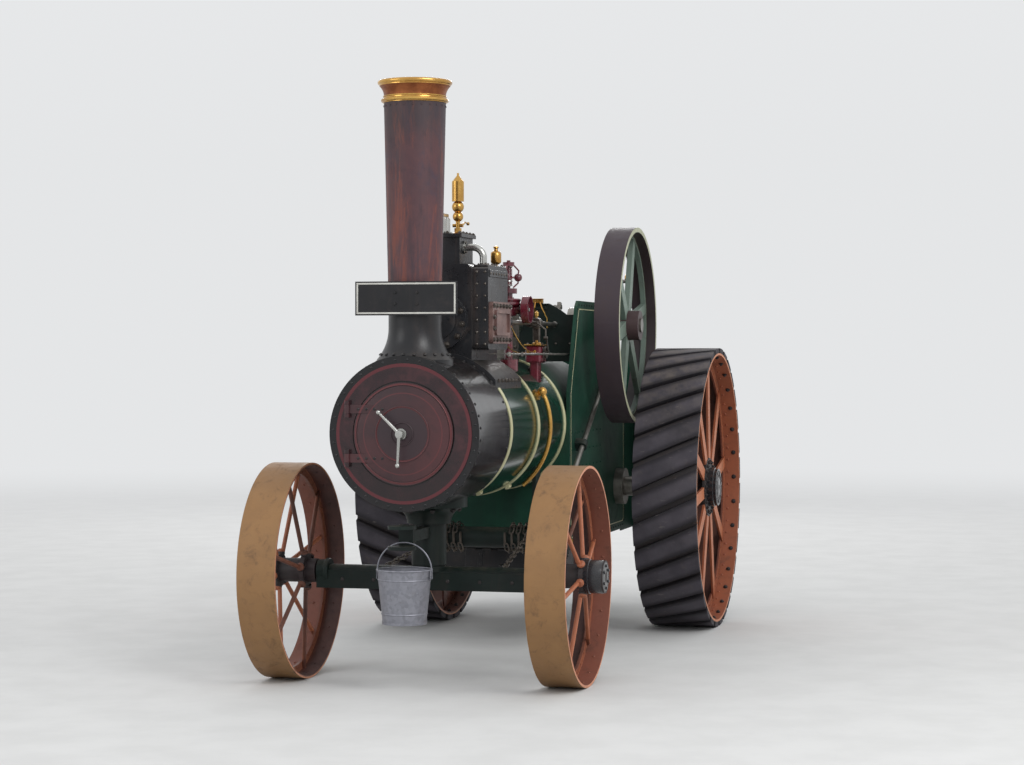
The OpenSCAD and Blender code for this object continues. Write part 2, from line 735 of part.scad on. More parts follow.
// valve rod, curved link and two eccentric rods, with the lever that reverses them
module valve_gear() {
    link_motion();
    reversing_lever();
}
module link_motion() color("#a8a8a4") translate([0, valve_y, crank_z]) {
    along_x(link_x, chest_x - cut, valve_rod_r);
    translate([link_x - link_curve_r, 0, 0]) rotate([90, 0, 0]) rotate_extrude(angle = 32, start = -16)
        square_between([link_curve_r - link_bar_w / 2, -11], [link_curve_r + link_bar_w / 2, 11]);
    for (side = [-1, 1]) {
        rod_y = eccentric_ys[side < 0 ? 0 : 1][0] - valve_y;
        lift = link_pin_z * side;
        end_x = crank_x + eccentric_r + eccentric_throw + swing_gap;
        pin_x = link_x - 24;
        run_x = pin_x - end_x;
        translate([end_x, rod_y, 0]) rotate([0, -atan2(lift, run_x), 0])
            along_x(0, norm([run_x, lift]), eccentric_rod_r);
        translate([pin_x, 0, lift])
            along_y(min(rod_y, 0) - link_pin_r, max(rod_y, 0) + link_pin_r, link_pin_r);
    }
}
link_curve_r = 500;
link_bar_w = 32;
link_pin_z = 110;
link_pin_r = 14;
eccentric_rod_r = 12;

module crank_web(y0, y1) side_plate(y0, y1) {
    circle(web_r + web_boss);
    translate([crank_throw, 0]) circle(web_r);
    square_between([0, -web_r], [crank_throw, web_r]);
}
module crankshaft() color("#8d8d8a") at_crank() {
    along_y(crank_end_y, -web_y0, crank_r);
    along_y(web_y0, flywheel_y + shaft_stub, crank_r);
    both_sides() crank_web(web_y0, web_y1);
    translate([crank_throw, 0, 0]) along_y(-web_y0, web_y0, crank_pin_r);
    translate([crank_throw, 0, 0]) ring_y(-web_y0 + 6, web_y0 - 6, big_end_r, crank_pin_r);
    for (e = eccentric_ys) rotate([0, e[1], 0]) translate([eccentric_throw, 0, 0])
        along_y(e[0] - eccentric_w / 2, e[0] + eccentric_w / 2, eccentric_r);
    // pinion slid out of mesh, as when the flywheel drives a belt
    gear(crank_teeth, first_module, 0, crank_pinion_y - spur_w, crank_pinion_y);
}
web_boss = 8;
shaft_stub = 24;
crank_end_y = crank_pinion_y - spur_w - shaft_stub;

module flywheel() color("#3c2226") at_crank() translate([0, flywheel_mid_y, 0]) difference() {
    rim_in_r = flywheel_r - flywheel_rim_t;
    union() {
        ring_y(-flywheel_w / 2, flywheel_w / 2, flywheel_r, rim_in_r);
        ring_y(-spoke_half_t + 1, spoke_half_t - 1, rim_in_r + cut, rim_in_r - flywheel_rib);
        along_y(-flywheel_hub_w / 2, flywheel_hub_w / 2, flywheel_hub_r);
        for (i = [0:flywheel_spokes - 1]) rotate([0, i * 360 / flywheel_spokes + 12, 0])
            side_plate(-spoke_half_t, spoke_half_t) polygon([
                [0, -spoke_half_w[0]], [rim_in_r, -spoke_half_w[1]],
                [rim_in_r, spoke_half_w[1]], [0, spoke_half_w[0]]
            ]);
    }
    along_y(-flywheel_w, flywheel_w, crank_r + seat_gap);
}
flywheel_rib = 22;
spoke_half_t = 17;
// half widths of a spoke at the hub and at the rim
spoke_half_w = [48, 31];

// two bearings on the hornplates, and the spectacle plate that ties the plates together
module crank_bearings() {
    at_crank() both_sides() crank_bearing();
    spectacle_plate();
}
module crank_bearing() color("#2c4a3a") difference() {
    union() {
        along_y(horn_out_y, horn_out_y + bearing_w, bearing_half);
        box([-45, 45], [horn_out_y, horn_out_y + bearing_w], [0, bearing_half + 26]);
        along_y(horn_y - spigot_lap, horn_out_y + bearing_w, spigot_r - seat_gap);
    }
    along_y(horn_y - spigot_lap - cut, horn_out_y + bearing_w + cut, crank_r + run_fit);
}
spigot_lap = 12;
module spectacle_plate() color("#1f2422") difference() {
    cross_plate(spectacle_x - spectacle_t, spectacle_x) {
        square_between([-horn_y, boiler_z + firebox_half_w - 30], [horn_y, spectacle_side_z]);
        intersection() {
            translate([0, spectacle_top_z - spectacle_top_r]) circle(spectacle_top_r);
            square_between([-horn_y, crank_z], [horn_y, spectacle_flat_z]);
        }
    }
    through_spectacle(boiler_z, 0, firebox_half_w + seat_gap, fine_fn);
    through_spectacle(crank_z, 0, spectacle_hole_r);
    through_spectacle(crank_z, valve_y, valve_rod_r + swing_gap);
}
module through_spectacle(z, y, r, fn = $fn) translate([0, y, z])
    along_x(spectacle_x - spectacle_t - cut, spectacle_x + cut, r, fn);
spectacle_hole_r = 62;
spectacle_side_z = crank_z + 60;
spectacle_flat_z = crank_z + 130;
spectacle_top_z = crank_z + 180;
spectacle_top_r = 540;

firebox_front_lead = backhead_lead + firebox_len;
// outline of a hornplate: distance ahead of the rear axle, height
horn_top_z = crank_z + 145;
horn_outline = [
    [firebox_front_lead, firebox_low_z], [firebox_front_lead, boiler_z + 190],
    [firebox_front_lead - 220, horn_top_z - 35], [firebox_front_lead - 265, horn_top_z],
    [crank_lead - 170, horn_top_z], [crank_lead - 230, horn_top_z - 50], [60, boiler_z + 270],
    [-horn_rear_reach + 60, boiler_z + 110], [-horn_rear_reach, boiler_z + 30],
    [-horn_rear_reach, firebox_low_z + 40], [-horn_rear_reach + 60, firebox_low_z]
];
module hornplates() color("#1d4634") both_sides() difference() {
    side_plate(horn_y, horn_out_y) difference() {
        translate([rear_axle_x, 0]) polygon(horn_outline);
        translate([crank_x, crank_z]) circle(spigot_r);
        translate([rear_axle_x, rear_wheel_r]) circle(axle_box_r);
        translate([second_x, second_z]) circle(second_r + second_hole_gap);
    }
}

second_hole_gap = 20;

module firebox() color("#173a2c") difference() {
    cross_plate(backhead_x, throat_x) {
        square_between([-firebox_half_w, firebox_low_z], [firebox_half_w, boiler_z]);
        translate([0, boiler_z]) circle(firebox_half_w);
    }
    box([backhead_x + firebox_wall, throat_x - firebox_wall], [-1, 1] * (firebox_half_w - firebox_wall),
        [firebox_low_z - cut, firebox_crown_z]);
    translate([0, 0, firehole_z]) along_x(backhead_x - cut, backhead_x + firebox_wall + cut, firehole_r);
}

firebox_crown_z = boiler_z + 120;

module fire_door() color("#2b2b2d") {
    translate([backhead_x - fire_door_gap, 0, firehole_z]) difference() {
        along_x(-fire_door_t, 0, firehole_r + fire_door_lap);
        along_x(-fire_door_t - cut, cut, fire_door_vent_r);
    }
    at_fire_door_pins() difference() {
        union() {
            cylinder(r = 2 * fire_pin_r, h = fire_knuckle_h, center = true);
            translate([0, -firehole_r, -fire_knuckle_h / 2]) cube([10, firehole_r, fire_knuckle_h]);
        }
        cylinder(r = fire_pin_r + run_fit, h = fire_knuckle_h + 2 * cut, center = true);
    }
}
module at_fire_door_pins() for (side = [-1, 1])
    translate([backhead_x - fire_pin_lag, firehole_r + fire_pin_offset, firehole_z + side * fire_pin_z])
        children();
fire_door_t = 14;
fire_door_gap = 1;
fire_door_lap = 22;
fire_door_vent_r = 16;
fire_knuckle_h = 26;
fire_pin_r = 6;
fire_pin_z = 70;
fire_pin_lag = 22;
fire_pin_offset = 40;

// ashpan under the firebox, open above to the grate and ahead at its damper
module ashpan() color("#1c1c1e") difference() {
    ashpan_outline(0, 0);
    ashpan_outline(ashpan_t, cut);
    box([throat_x - 200, throat_x], [-220, 220], [ashpan_low_z + 50, firebox_low_z - 40]);
}
module ashpan_outline(inset, rise) side_plate(-ashpan_half_w + inset, ashpan_half_w - inset) polygon([
    [backhead_x + 20 + 1.25 * inset, firebox_low_z + rise], [backhead_x + 60 + inset, ashpan_low_z + inset],
    [throat_x - 120 - inset, ashpan_low_z + inset], [throat_x - 20 - 1.25 * inset, firebox_low_z + rise]
]);
ashpan_t = 8;
ashpan_low_z = firebox_low_z - 200;
ashpan_half_w = firebox_half_w - 25;

// what is screwed to the boiler: the backhead's fittings and the feed check valve
module boiler_fittings() {
    backhead_fittings();
    clack_valve();
}
module backhead_fittings() color("#b08a48") {
    // hinge pins and lugs of the fire door
    at_fire_door_pins() {
        cylinder(r = fire_pin_r, h = 60, center = true);
        for (side = [-1, 1]) translate([-8, -10, side * 23 - 7]) cube([fire_pin_lag + 8, 20, 14]);
    }
    // water gauge
    translate([backhead_x - water_gauge_lag, -water_gauge_y, boiler_z + 60]) {
        cylinder(r = 9, h = water_gauge_h);
        for (z = [15, water_gauge_h - 15]) translate([0, 0, z]) {
            along_x(0, water_gauge_lag, 12);
            sphere(19);
        }
    }
    // pressure gauge on its pipe
    translate([backhead_x - dial_lag, dial_y, boiler_z + 250]) {
        along_x(-16, 22, dial_r);
        along_x(0, dial_lag, 12);
    }
    // regulator handle
    translate([backhead_x, regulator_y, boiler_z + 190]) {
        along_x(-50, 0, 16);
        translate([-48, 0, 0]) rotate([30, 0, 0]) translate([-5, -10, 0]) cube([10, 20, regulator_len]);
    }
}
water_gauge_lag = 36;
water_gauge_y = 240;
water_gauge_h = 240;
dial_lag = 60;
dial_y = 60;
dial_r = 75;
regulator_y = 230;
regulator_len = 190;

module second_shaft() color("#77736c") at_second() {
    along_y(final_y - final_w - 20, horn_out_y + 60, second_r);
    both_sides() ring_y(horn_out_y, horn_out_y + second_collar_w, second_r + 40, second_r);
    gear(spur_teeth, first_module, 0, spur_y - (spur_w + gear_web) / 2, spur_y - (spur_w - gear_web) / 2);
    difference() {
        gear(spur_teeth, first_module, 0, spur_y - spur_w, spur_y);
        along_y(spur_y - spur_w - cut, spur_y + cut, first_module * spur_teeth / 2 - spur_rim);
    }
    along_y(spur_y - spur_w, spur_y, gear_hub_r);
    gear(pinion_teeth, final_module, pinion_phase, final_y - final_w, final_y);
}
// angles as seen from the right-hand side's drawing plane, X forward and Z up
pinion_phase = shaft_angle + 180 + 180 / pinion_teeth;
second_collar_w = 10;
// depth of the gears' rims below their pitch circles
spur_rim = 44;
final_rim = 62;

module rear_axle() color("#5b5650") at_rear_axle() {
    along_y(-rear_track_y + 8, rear_track_y - 8, axle_r);
    both_sides() along_y(horn_y, horn_out_y + axle_box_w, axle_box_r - seat_gap);
    difference() {
        final_mid_y = final_y - final_w / 2;
        dish_r = final_module * final_teeth / 2 - final_rim;
        gear(final_teeth, final_module, shaft_angle, final_y - final_w, final_y);
        along_y(final_y - final_w - cut, final_mid_y - gear_web / 2, dish_r);
        along_y(final_mid_y + gear_web / 2, final_y + cut, dish_r);
    }
    along_y(final_y - final_w, final_y, final_hub_r);
}

// left-hand wheels, drawn about their own axle; the right-hand ones are mirrored
module rear_wheel() difference() {
    translate([0, rear_mid_y, 0]) union() {
        ring_y(-rear_rim_w / 2, rear_rim_w / 2, rear_rim_r, rear_rim_r - rim_t);
        for (side = [-1, 1]) {
            ring_y(side * rear_ring_y - tee_half_t, side * rear_ring_y + tee_half_t,
                rear_rim_r - rim_t + cut, rear_rim_r - rim_t - rear_tee_h);
            along_y(side * rear_flange_y - 9, side * rear_flange_y + 9, rear_flange_r);
            for (i = [0:rear_spokes - 1]) rotate([0, (i + side / 4) * 360 / rear_spokes, 0])
                rotate([0, 0, side * rear_spoke_lean])
                    translate([rear_spoke_in, side * rear_spoke_y - rear_spoke_t / 2, -rear_spoke_w / 2])
                        cube([rear_rim_r - rim_t - 24 - rear_spoke_in, rear_spoke_t, rear_spoke_w]);
        }
        along_y(-rear_rim_w / 2 - rear_hub_in, rear_rim_w / 2 - 6, rear_hub_r);
    }
    along_y(0, rear_track_y, axle_r + run_fit);
}
tee_half_t = 7;
rear_tee_h = 62;
rear_flange_y = 130;
rear_spoke_in = 100;
rear_spoke_y = 135;
rear_spoke_t = 14;
rear_spoke_w = 76;
rear_spoke_lean = -atan2(rear_spoke_y - rear_ring_y - 8, rear_rim_r - rim_t - 60);

module rear_strakes() intersection() {
    ring_y(rear_track_y - rear_rim_w, rear_track_y, rear_wheel_r, rear_rim_r + seat_gap);
    for (i = [0:strakes - 1]) rotate([0, -i * 360 / strakes, 0]) translate([rear_rim_r, rear_mid_y, 0])
        rotate([strake_slant, 0, 0]) translate([-30, -rear_rim_w, -strake_w / 2])
            cube([strake_h + 58, 2 * rear_rim_w, strake_w]);
}

module rear_wheel_left() color("#c8713c") at_rear_axle() rear_wheel();
module rear_wheel_right() color("#c8713c") at_rear_axle() mirrored(false) rear_wheel();
module rear_strakes_left() color("#26262a") at_rear_axle() rear_strakes();
module rear_strakes_right() color("#26262a") at_rear_axle() mirrored(false) rear_strakes();

module front_wheel() difference() {
    translate([0, front_mid_y, 0]) union() {
        ring_y(-front_rim_w / 2, front_rim_w / 2, front_wheel_r, front_wheel_r - rim_t);
        ring_y(-8, 8, front_wheel_r - rim_t + cut, front_wheel_r - rim_t - front_tee_h);
        for (side = [-1, 1], i = [0:front_spokes - 1]) rotate([0, (i + side / 4) * 360 / front_spokes, 0])
            rotate([0, 0, side * front_spoke_lean]) translate([0, side * front_spoke_y, 0])
                rotate([0, 90, 0]) cylinder(r = front_spoke_r, h = front_wheel_r - rim_t - 6);
        along_y(-front_rim_w / 2 - front_hub_in, front_rim_w / 2 - 20, front_barrel_r);
        for (side = [-1, 1]) along_y(side * front_spoke_y - 13, side * front_spoke_y + 13, front_flange_r);
        along_y(front_rim_w / 2 - 20, front_rim_w / 2 + front_hub_out, front_hub_r);
    }
    along_y(0, front_track_y + front_hub_out - 12, stub_r + run_fit);
}
front_tee_h = 42;
front_barrel_r = 66;
front_flange_r = 92;
front_spoke_r = 12;
front_spoke_y = 78;
front_spoke_lean = -atan2(front_spoke_y - 12, front_wheel_r - rim_t);

module front_wheel_left() color("#b9793c") at_front_axle() front_wheel();
module front_wheel_right() color("#b9793c") at_front_axle() mirrored(false) front_wheel();

// cast bracket under the smokebox with the front coupling's jaws
module perch_bracket() color("#20302a") difference() {
    union() {
        translate([front_axle_x, 0, 0]) {
            rotate_extrude() {
                square_between([0, perch_low_z], [perch_foot_r, perch_top_z]);
                difference() {
                    square_between([0, perch_top_z - perch_cove_r], [perch_flange_r, perch_top_z + 60]);
                    translate([perch_flange_r, perch_top_z - perch_cove_r]) circle(perch_cove_r);
                }
            }
            box([0, coupling_lead - 80], [-32, 32], [coupling_z - 30, coupling_z + 30]);
        }
        translate([coupling_x, 0, coupling_z]) {
            for (z = [coupling_gap / 2, -coupling_gap / 2 - coupling_jaw_t]) translate([0, 0, z]) {
                cylinder(r = coupling_jaw_r, h = coupling_jaw_t);
                translate([-coupling_arm_len, -coupling_arm_half_w, 0])
                    cube([coupling_arm_len, 2 * coupling_arm_half_w, coupling_jaw_t]);
            }
            box([-coupling_arm_len, -coupling_arm_len + 40], coupling_arm_half_w * [-1, 1],
                (coupling_gap / 2 + coupling_jaw_t) * [-1, 1]);
        }
    }
    at_boiler() along_x(smokebox_rear_x - 200, smokebox_front_x + cut, smokebox_r + seat_gap, fine_fn);
    translate([front_axle_x, 0, perch_low_z - cut])
        cylinder(r = kingpin_r + run_fit, h = kingpin_top_z - perch_low_z + 10);
    translate([coupling_x, 0, coupling_z - coupling_gap]) cylinder(r = coupling_pin_r, h = 2 * coupling_gap);
}
perch_top_z = boiler_z - smokebox_r;
perch_cove_r = 90;
perch_flange_r = perch_foot_r + 115;
coupling_arm_len = 110;

module front_axle() color("#22332c") at_front_axle() {
    beam_z = beam_top_z - front_wheel_r;
    beam_end = front_track_y - front_rim_w - front_hub_in - front_hub_gap;
    stub_end = front_track_y + front_hub_out - 30;
    box([-beam_half_t, beam_half_t], [-beam_end, beam_end], [beam_z - beam_h, beam_z]);
    both_sides() along_y(beam_end - beam_boss_w, beam_end, beam_boss_r);
    along_y(-stub_end, stub_end, stub_r);
    translate([0, 0, beam_z]) cylinder(r = perch_foot_r - 5, h = perch_low_z - beam_top_z - perch_gap);
    translate([0, 0, beam_z]) cylinder(r = kingpin_r, h = kingpin_top_z - beam_top_z);
    // eyes for the steering chains
    both_sides() translate([-beam_half_t - chain_eye_lead, chain_axle_y, beam_z - chain_eye_drop])
        difference() {
            union() {
                cylinder(r = chain_eye_r, h = chain_eye_t);
                translate([0, -chain_eye_r, 0]) cube([30, 2 * chain_eye_r, chain_eye_t]);
            }
            translate([0, 0, -cut]) cylinder(r = chain_eye_hole_r, h = chain_eye_t + 2 * cut);
        }
}
front_hub_gap = 8;
beam_boss_r = 62;
beam_boss_w = 60;
perch_gap = 4;

// barrel that winds the steering chains, with its hangers and the steering shaft's brackets
module chain_barrel() {
    wound_barrel();
    steering_brackets();
}
module wound_barrel() color("#33302c") {
    translate([chain_barrel_x, 0, chain_barrel_z]) {
        along_y(-chain_barrel_half, steer_y - worm_wheel_half_w + 2, barrel_shaft_r);
        along_y(-chain_barrel_half + 30, chain_barrel_half - 30, chain_barrel_r);
        gear(worm_wheel_teeth, worm_wheel_module, 0,
            steer_y - worm_wheel_half_w, steer_y + worm_wheel_half_w);
        // worm's bracket on the barrel's left end
        along_y(chain_barrel_half - 6, worm_plate_y - 6, 44);
        rotate([0, steer_pitch, 0]) difference() {
            union() {
                side_plate(worm_plate_y - 12, worm_plate_y) polygon([
                    [-40, 0], [40, 0], [40, 90], [worm_plate_half, 90], [worm_plate_half, worm_reach + 26],
                    [-worm_plate_half, worm_reach + 26], [-worm_plate_half, 90], [-40, 90]
                ]);
                for (x = [4 - worm_plate_half, worm_plate_half - 28])
                    box([x, x + 24], [worm_plate_y - 6, steer_y + 26], [worm_reach - 22, worm_reach + 22]);
            }
            translate([0, steer_y, worm_reach])
                along_x(-worm_plate_half - cut, worm_plate_half + cut, steer_r + run_fit);
        }
    }
    difference() {
        union() {
            both_sides() side_plate(chain_barrel_half - hanger_t, chain_barrel_half)
                translate([chain_barrel_x, 0]) {
                    translate([0, chain_barrel_z]) circle(hanger_half_w);
                    square_between([-hanger_half_w, chain_barrel_z],
                        [hanger_half_w, boiler_z - barrel_r / 2]);
                }
        }
        barrel_cut();
    }
}
barrel_shaft_r = 30;
hanger_t = 22;
hanger_half_w = 60;
worm_wheel_teeth = 30;
worm_wheel_module = 2 * worm_wheel_r / worm_wheel_teeth;
worm_wheel_half_w = 22;
worm_plate_half = 122;

module at_steering_shaft() translate([chain_barrel_x, steer_y, chain_barrel_z]) rotate([0, steer_pitch, 0])
    translate([0, 0, worm_reach]) children();
module steering_shaft() color("#9a9a97") at_steering_shaft() {
    along_x(-steer_len, worm_plate_half + 8, steer_r);
    along_x(-90, 90, worm_r);
    // hand wheel across the shaft's upper end
    translate([-steer_len + 30, 0, 0]) {
        turned_x() translate([steering_wheel_r - hand_rim_r, 0]) circle(hand_rim_r);
        along_x(-22, 22, 38);
        for (a = [0:72:288]) rotate([a, 0, 0]) cylinder(r = 9, h = steering_wheel_r - hand_rim_r + 3);
    }
}
hand_rim_r = 13;

// bearings that hold the steering shaft off the left hornplate
module steering_brackets() color("#20302a") at_steering_shaft() for (x = steer_bearing_xs) difference() {
    union() {
        along_x(x - 25, x + 25, 30);
        translate([x - 25, horn_out_y - steer_y, -30]) cube([50, steer_y - horn_out_y, 60]);
    }
    along_x(x - 25 - cut, x + 25 + cut, steer_r + run_fit);
}
steer_bearing_xs = [-1900, -760];

// one link lies flat and the next stands on edge, from the barrel to the axle's eye
module chain_link() linear_extrude(link_wire, center = true) difference() {
    link_shape(link_w / 2);
    link_shape(link_w / 2 - link_wire);
}
module link_shape(r) {
    for (side = [-1, 1]) translate([side * (link_pitch / 2 + link_wire - link_w / 2 - 1), 0]) circle(r);
    square([link_pitch + 2 * link_wire - link_w - 2, 2 * r], center = true);
}
module steering_chain() {
    run = chain_from - chain_to;
    links = floor(norm(run) / link_pitch);
    translate(chain_to) rotate([0, -atan2(run[2], norm([run[0], run[1]])), atan2(run[1], run[0])])
        for (i = [0:links - 1]) translate([(i + 0.5) * norm(run) / links, 0, 0])
            rotate([i % 2 * 90, 0, 0]) chain_link();
}
chain_from = [chain_barrel_x + chain_barrel_r + 20, chain_y, chain_barrel_z];
// the last link's round end stands against the eye
chain_to = [front_axle_x - beam_half_t - chain_eye_lead - chain_eye_r - link_wire + 2,
            chain_axle_y, beam_top_z - chain_eye_drop + chain_eye_t / 2];
module steering_chain_left() color("#4a4642") steering_chain();
module steering_chain_right() color("#4a4642") mirrored(false) steering_chain();

// feed check valve on the left of the barrel, with its pipe down round the barrel
module clack_valve() color("#b5a06a") at_boiler() translate([clack_x, 0, 0]) {
    rotate([-clack_angle, 0, 0]) {
        translate([0, 0, barrel_r + seat_gap]) cylinder(r = 34, h = 12);
        translate([0, 0, barrel_r + seat_gap]) cylinder(r = 16, h = clack_reach);
        translate([0, 0, barrel_r + clack_reach]) sphere(28);
    }
    rotate([90, 0, 90]) rotate_extrude(angle = feed_sweep, start = 90 - clack_angle - feed_sweep)
        translate([barrel_r + clack_reach, 0]) circle(feed_r);
}
clack_x = cylinder_rear_x - 260;
clack_angle = 63;
clack_reach = 44;
feed_sweep = 78;
feed_r = 13;

module reversing_lever() color("#8f8f8c") {
    translate([lever_x, -(horn_y - 30), lever_pivot_z]) {
        side_plate(-4, 8) translate([0, 10]) difference() {
            circle(quadrant_r);
            circle(quadrant_r - 30);
            square_between([-quadrant_r - 10, -quadrant_r - 10], [quadrant_r + 10, 20]);
        }
        side_plate(-4, 8) square_between([-quadrant_r, -50], [quadrant_r, 32]);
        translate([0, -12, 0]) rotate([0, -lever_lean, 0]) {
            cylinder(r = 11, h = lever_len);
            translate([0, 0, lever_len - 20]) cylinder(r = 16, h = lever_grip_len);
        }
        translate([0, -30, 0]) along_y(0, 38, 20);
    }
}
lever_x = rear_axle_x + 90;
lever_pivot_z = footplate_z + 400;
lever_lean = 12;
lever_len = 720;
lever_grip_len = 110;
quadrant_r = 150;

// floor behind the rear axle with the sheets that close the footwell's sides
module footplate() color("#2a2c2b") {
    floor_gap = axle_r + axle_gap;
    for (x = [[tender_front_x, rear_axle_x - floor_gap], [rear_axle_x + floor_gap, backhead_x]])
        box(x, [-horn_y, horn_y], [footplate_z - footplate_t, footplate_z]);
    both_sides() side_plate(horn_y - tender_t, horn_y) polygon([
        [tender_front_x, tender_low_z], [tender_front_x, side_sheet_z[0]],
        [horn_rear_x + side_sheet_lap, side_sheet_z[1]], [horn_rear_x + side_sheet_lap, tender_low_z]
    ]);
}
axle_gap = 30;
side_sheet_lap = 40;
// top of the side sheets at the tender and at the hornplates
side_sheet_z = [1500, 1380];

module tender_outline(inset) rounded([tender_rear_x + inset, tender_front_x + tender_corner_r],
    [-1, 1] * (tender_half_w - inset), tender_corner_r - inset);
module tender_body(z, inset) translate([0, 0, z[0]]) linear_extrude(z[1] - z[0]) intersection() {
    tender_outline(inset);
    square_between([tender_rear_x - cut, -tender_half_w - cut],
        [tender_front_x - inset, tender_half_w + cut]);
}
module tender_tank() color("#1d4634") tender_body([tender_low_z, tank_top_z], 0);
module coal_bunker() color("#1d4634") difference() {
    union() {
        tender_body([tank_top_z, bunker_top_z], 0);
        translate([0, 0, bunker_top_z - bunker_bead]) linear_extrude(2 * bunker_bead) intersection() {
            tender_outline(-10);
            square_between([tender_rear_x - 30, -tender_half_w - 30], [tender_front_x, tender_half_w + 30]);
        }
    }
    tender_body([tank_top_z - cut, bunker_top_z + bunker_bead + cut], tender_t);
    box([tender_front_x - 2 * tender_t, tender_front_x + cut], shovel_gap_w / 2 * [-1, 1],
        [tank_top_z - cut, bunker_top_z - shovel_gap_drop]);
}
bunker_bead = 12;
shovel_gap_w = 420;
shovel_gap_drop = 190;

module drawbar() color("#2a2a2c") difference() {
    union() {
        arm_len = tender_rear_x - tail_x - drawbar_half_w - seat_gap;
        for (z = [drawbar_gap / 2, -drawbar_gap / 2 - drawbar_plate_t])
            translate([tail_x + drawbar_half_w, 0, drawbar_z + z]) {
                cylinder(r = drawbar_half_w, h = drawbar_plate_t);
                translate([0, -drawbar_half_w, 0])
                    cube([arm_len, 2 * drawbar_half_w, drawbar_plate_t]);
            }
        box([tender_rear_x - 20, tender_rear_x - seat_gap], [-160, 160], [drawbar_z - 110, drawbar_z + 110]);
    }
    translate([tail_x + drawbar_half_w, 0, drawbar_z - drawbar_gap])
        cylinder(r = drawbar_pin_r, h = 2 * drawbar_gap);
}

// galvanised bucket that hangs from the front coupling
module bucket() color("#a9aeb2") translate([bucket_x, 0, bucket_low_z]) {
    rotate_extrude() {
        polygon([[0, 0], [bucket_low_r, 0], [bucket_top_r, bucket_h], [bucket_top_r - bucket_t, bucket_h],
                 [bucket_low_r - bucket_t, bucket_t], [0, bucket_t]]);
        translate([bucket_top_r, bucket_h - 4]) circle(bucket_bead);
    }
    translate([0, 0, bucket_h - bail_drop]) rotate([90, 0, 90]) rotate_extrude(angle = 180)
        translate([bail_arch_r, 0]) circle(bail_r);
}

smokebox();
smokebox_door();
door_handles();
chimney_saddle();
chimney();
chimney_cap();
number_plate();
boiler_barrel();
boiler_bands();
boiler_fittings();
cylinder_block();
chest_cover();
steam_pipe();
safety_valve();
whistle();
governor();
slide_bars();
connecting_rod();
valve_gear();
crankshaft();
flywheel();
crank_bearings();
hornplates();
firebox();
fire_door();
ashpan();
second_shaft();
rear_axle();
rear_wheel_left();
rear_wheel_right();
rear_strakes_left();
rear_strakes_right();
perch_bracket();
front_axle();
front_wheel_left();
front_wheel_right();
chain_barrel();
steering_shaft();
steering_chain_left();
steering_chain_right();
footplate();
tender_tank();
coal_bunker();
drawbar();
bucket();
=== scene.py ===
import json
import math
import random
from itertools import product

import bmesh
import bpy
import numpy as np
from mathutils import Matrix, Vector
from mathutils.bvhtree import BVHTree


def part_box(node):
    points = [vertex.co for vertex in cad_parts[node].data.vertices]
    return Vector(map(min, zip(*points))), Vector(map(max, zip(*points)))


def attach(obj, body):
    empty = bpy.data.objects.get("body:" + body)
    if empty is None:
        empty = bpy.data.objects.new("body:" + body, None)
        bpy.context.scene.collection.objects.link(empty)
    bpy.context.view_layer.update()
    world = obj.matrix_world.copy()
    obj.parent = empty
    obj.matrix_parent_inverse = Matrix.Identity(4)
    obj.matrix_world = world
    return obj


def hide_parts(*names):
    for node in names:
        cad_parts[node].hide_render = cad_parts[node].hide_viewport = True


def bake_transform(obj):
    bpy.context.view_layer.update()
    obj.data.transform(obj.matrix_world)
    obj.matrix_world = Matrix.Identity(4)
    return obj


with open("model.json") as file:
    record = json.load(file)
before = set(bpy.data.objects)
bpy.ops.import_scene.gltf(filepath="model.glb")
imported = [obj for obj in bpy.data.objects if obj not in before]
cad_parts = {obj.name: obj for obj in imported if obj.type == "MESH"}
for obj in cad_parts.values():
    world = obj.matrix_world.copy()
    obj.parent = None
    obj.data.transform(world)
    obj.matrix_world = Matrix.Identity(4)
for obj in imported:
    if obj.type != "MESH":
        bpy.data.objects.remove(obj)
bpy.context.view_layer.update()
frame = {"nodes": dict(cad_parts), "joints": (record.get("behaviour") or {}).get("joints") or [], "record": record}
random.seed(11)
scene = bpy.context.scene

X, Y, Z = Vector((1, 0, 0)), Vector((0, 1, 0)), Vector((0, 0, 1))
SIDES = (1, -1)
HANDS = (("left", 1), ("right", -1))

# main places, from the frame; axles are points in the engine's middle plane
joints = {joint["name"]: joint["pos_m"] for joint in frame["joints"]}
front_axle, rear_axle, crank = (
    Vector((joints[name][0], 0, joints[name][2]))
    for name in ("front_wheel_left_spin", "rear_wheel_left_spin", "crank_spin"))
front_r, rear_r = front_axle.z, rear_axle.z
smokebox_low, smokebox_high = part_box("smokebox")
barrel_low, barrel_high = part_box("boiler_barrel")
chimney_low, chimney_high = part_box("chimney")
block_low, block_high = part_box("cylinder_block")
horn_low, horn_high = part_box("hornplates")
door_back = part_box("smokebox_door")[0].x
boiler_z = (barrel_low.z + barrel_high.z) / 2
boiler = Z * boiler_z
barrel_r = (barrel_high.z - barrel_low.z) / 2
smokebox_r = smokebox_high.z - boiler_z
chimney = X * (chimney_low.x + chimney_high.x) / 2
rear_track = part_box("rear_wheel_left")[1].y
front_hub_reach = 0.090  # how far the front hubs stand out past the rims
front_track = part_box("front_wheel_left")[1].y - front_hub_reach

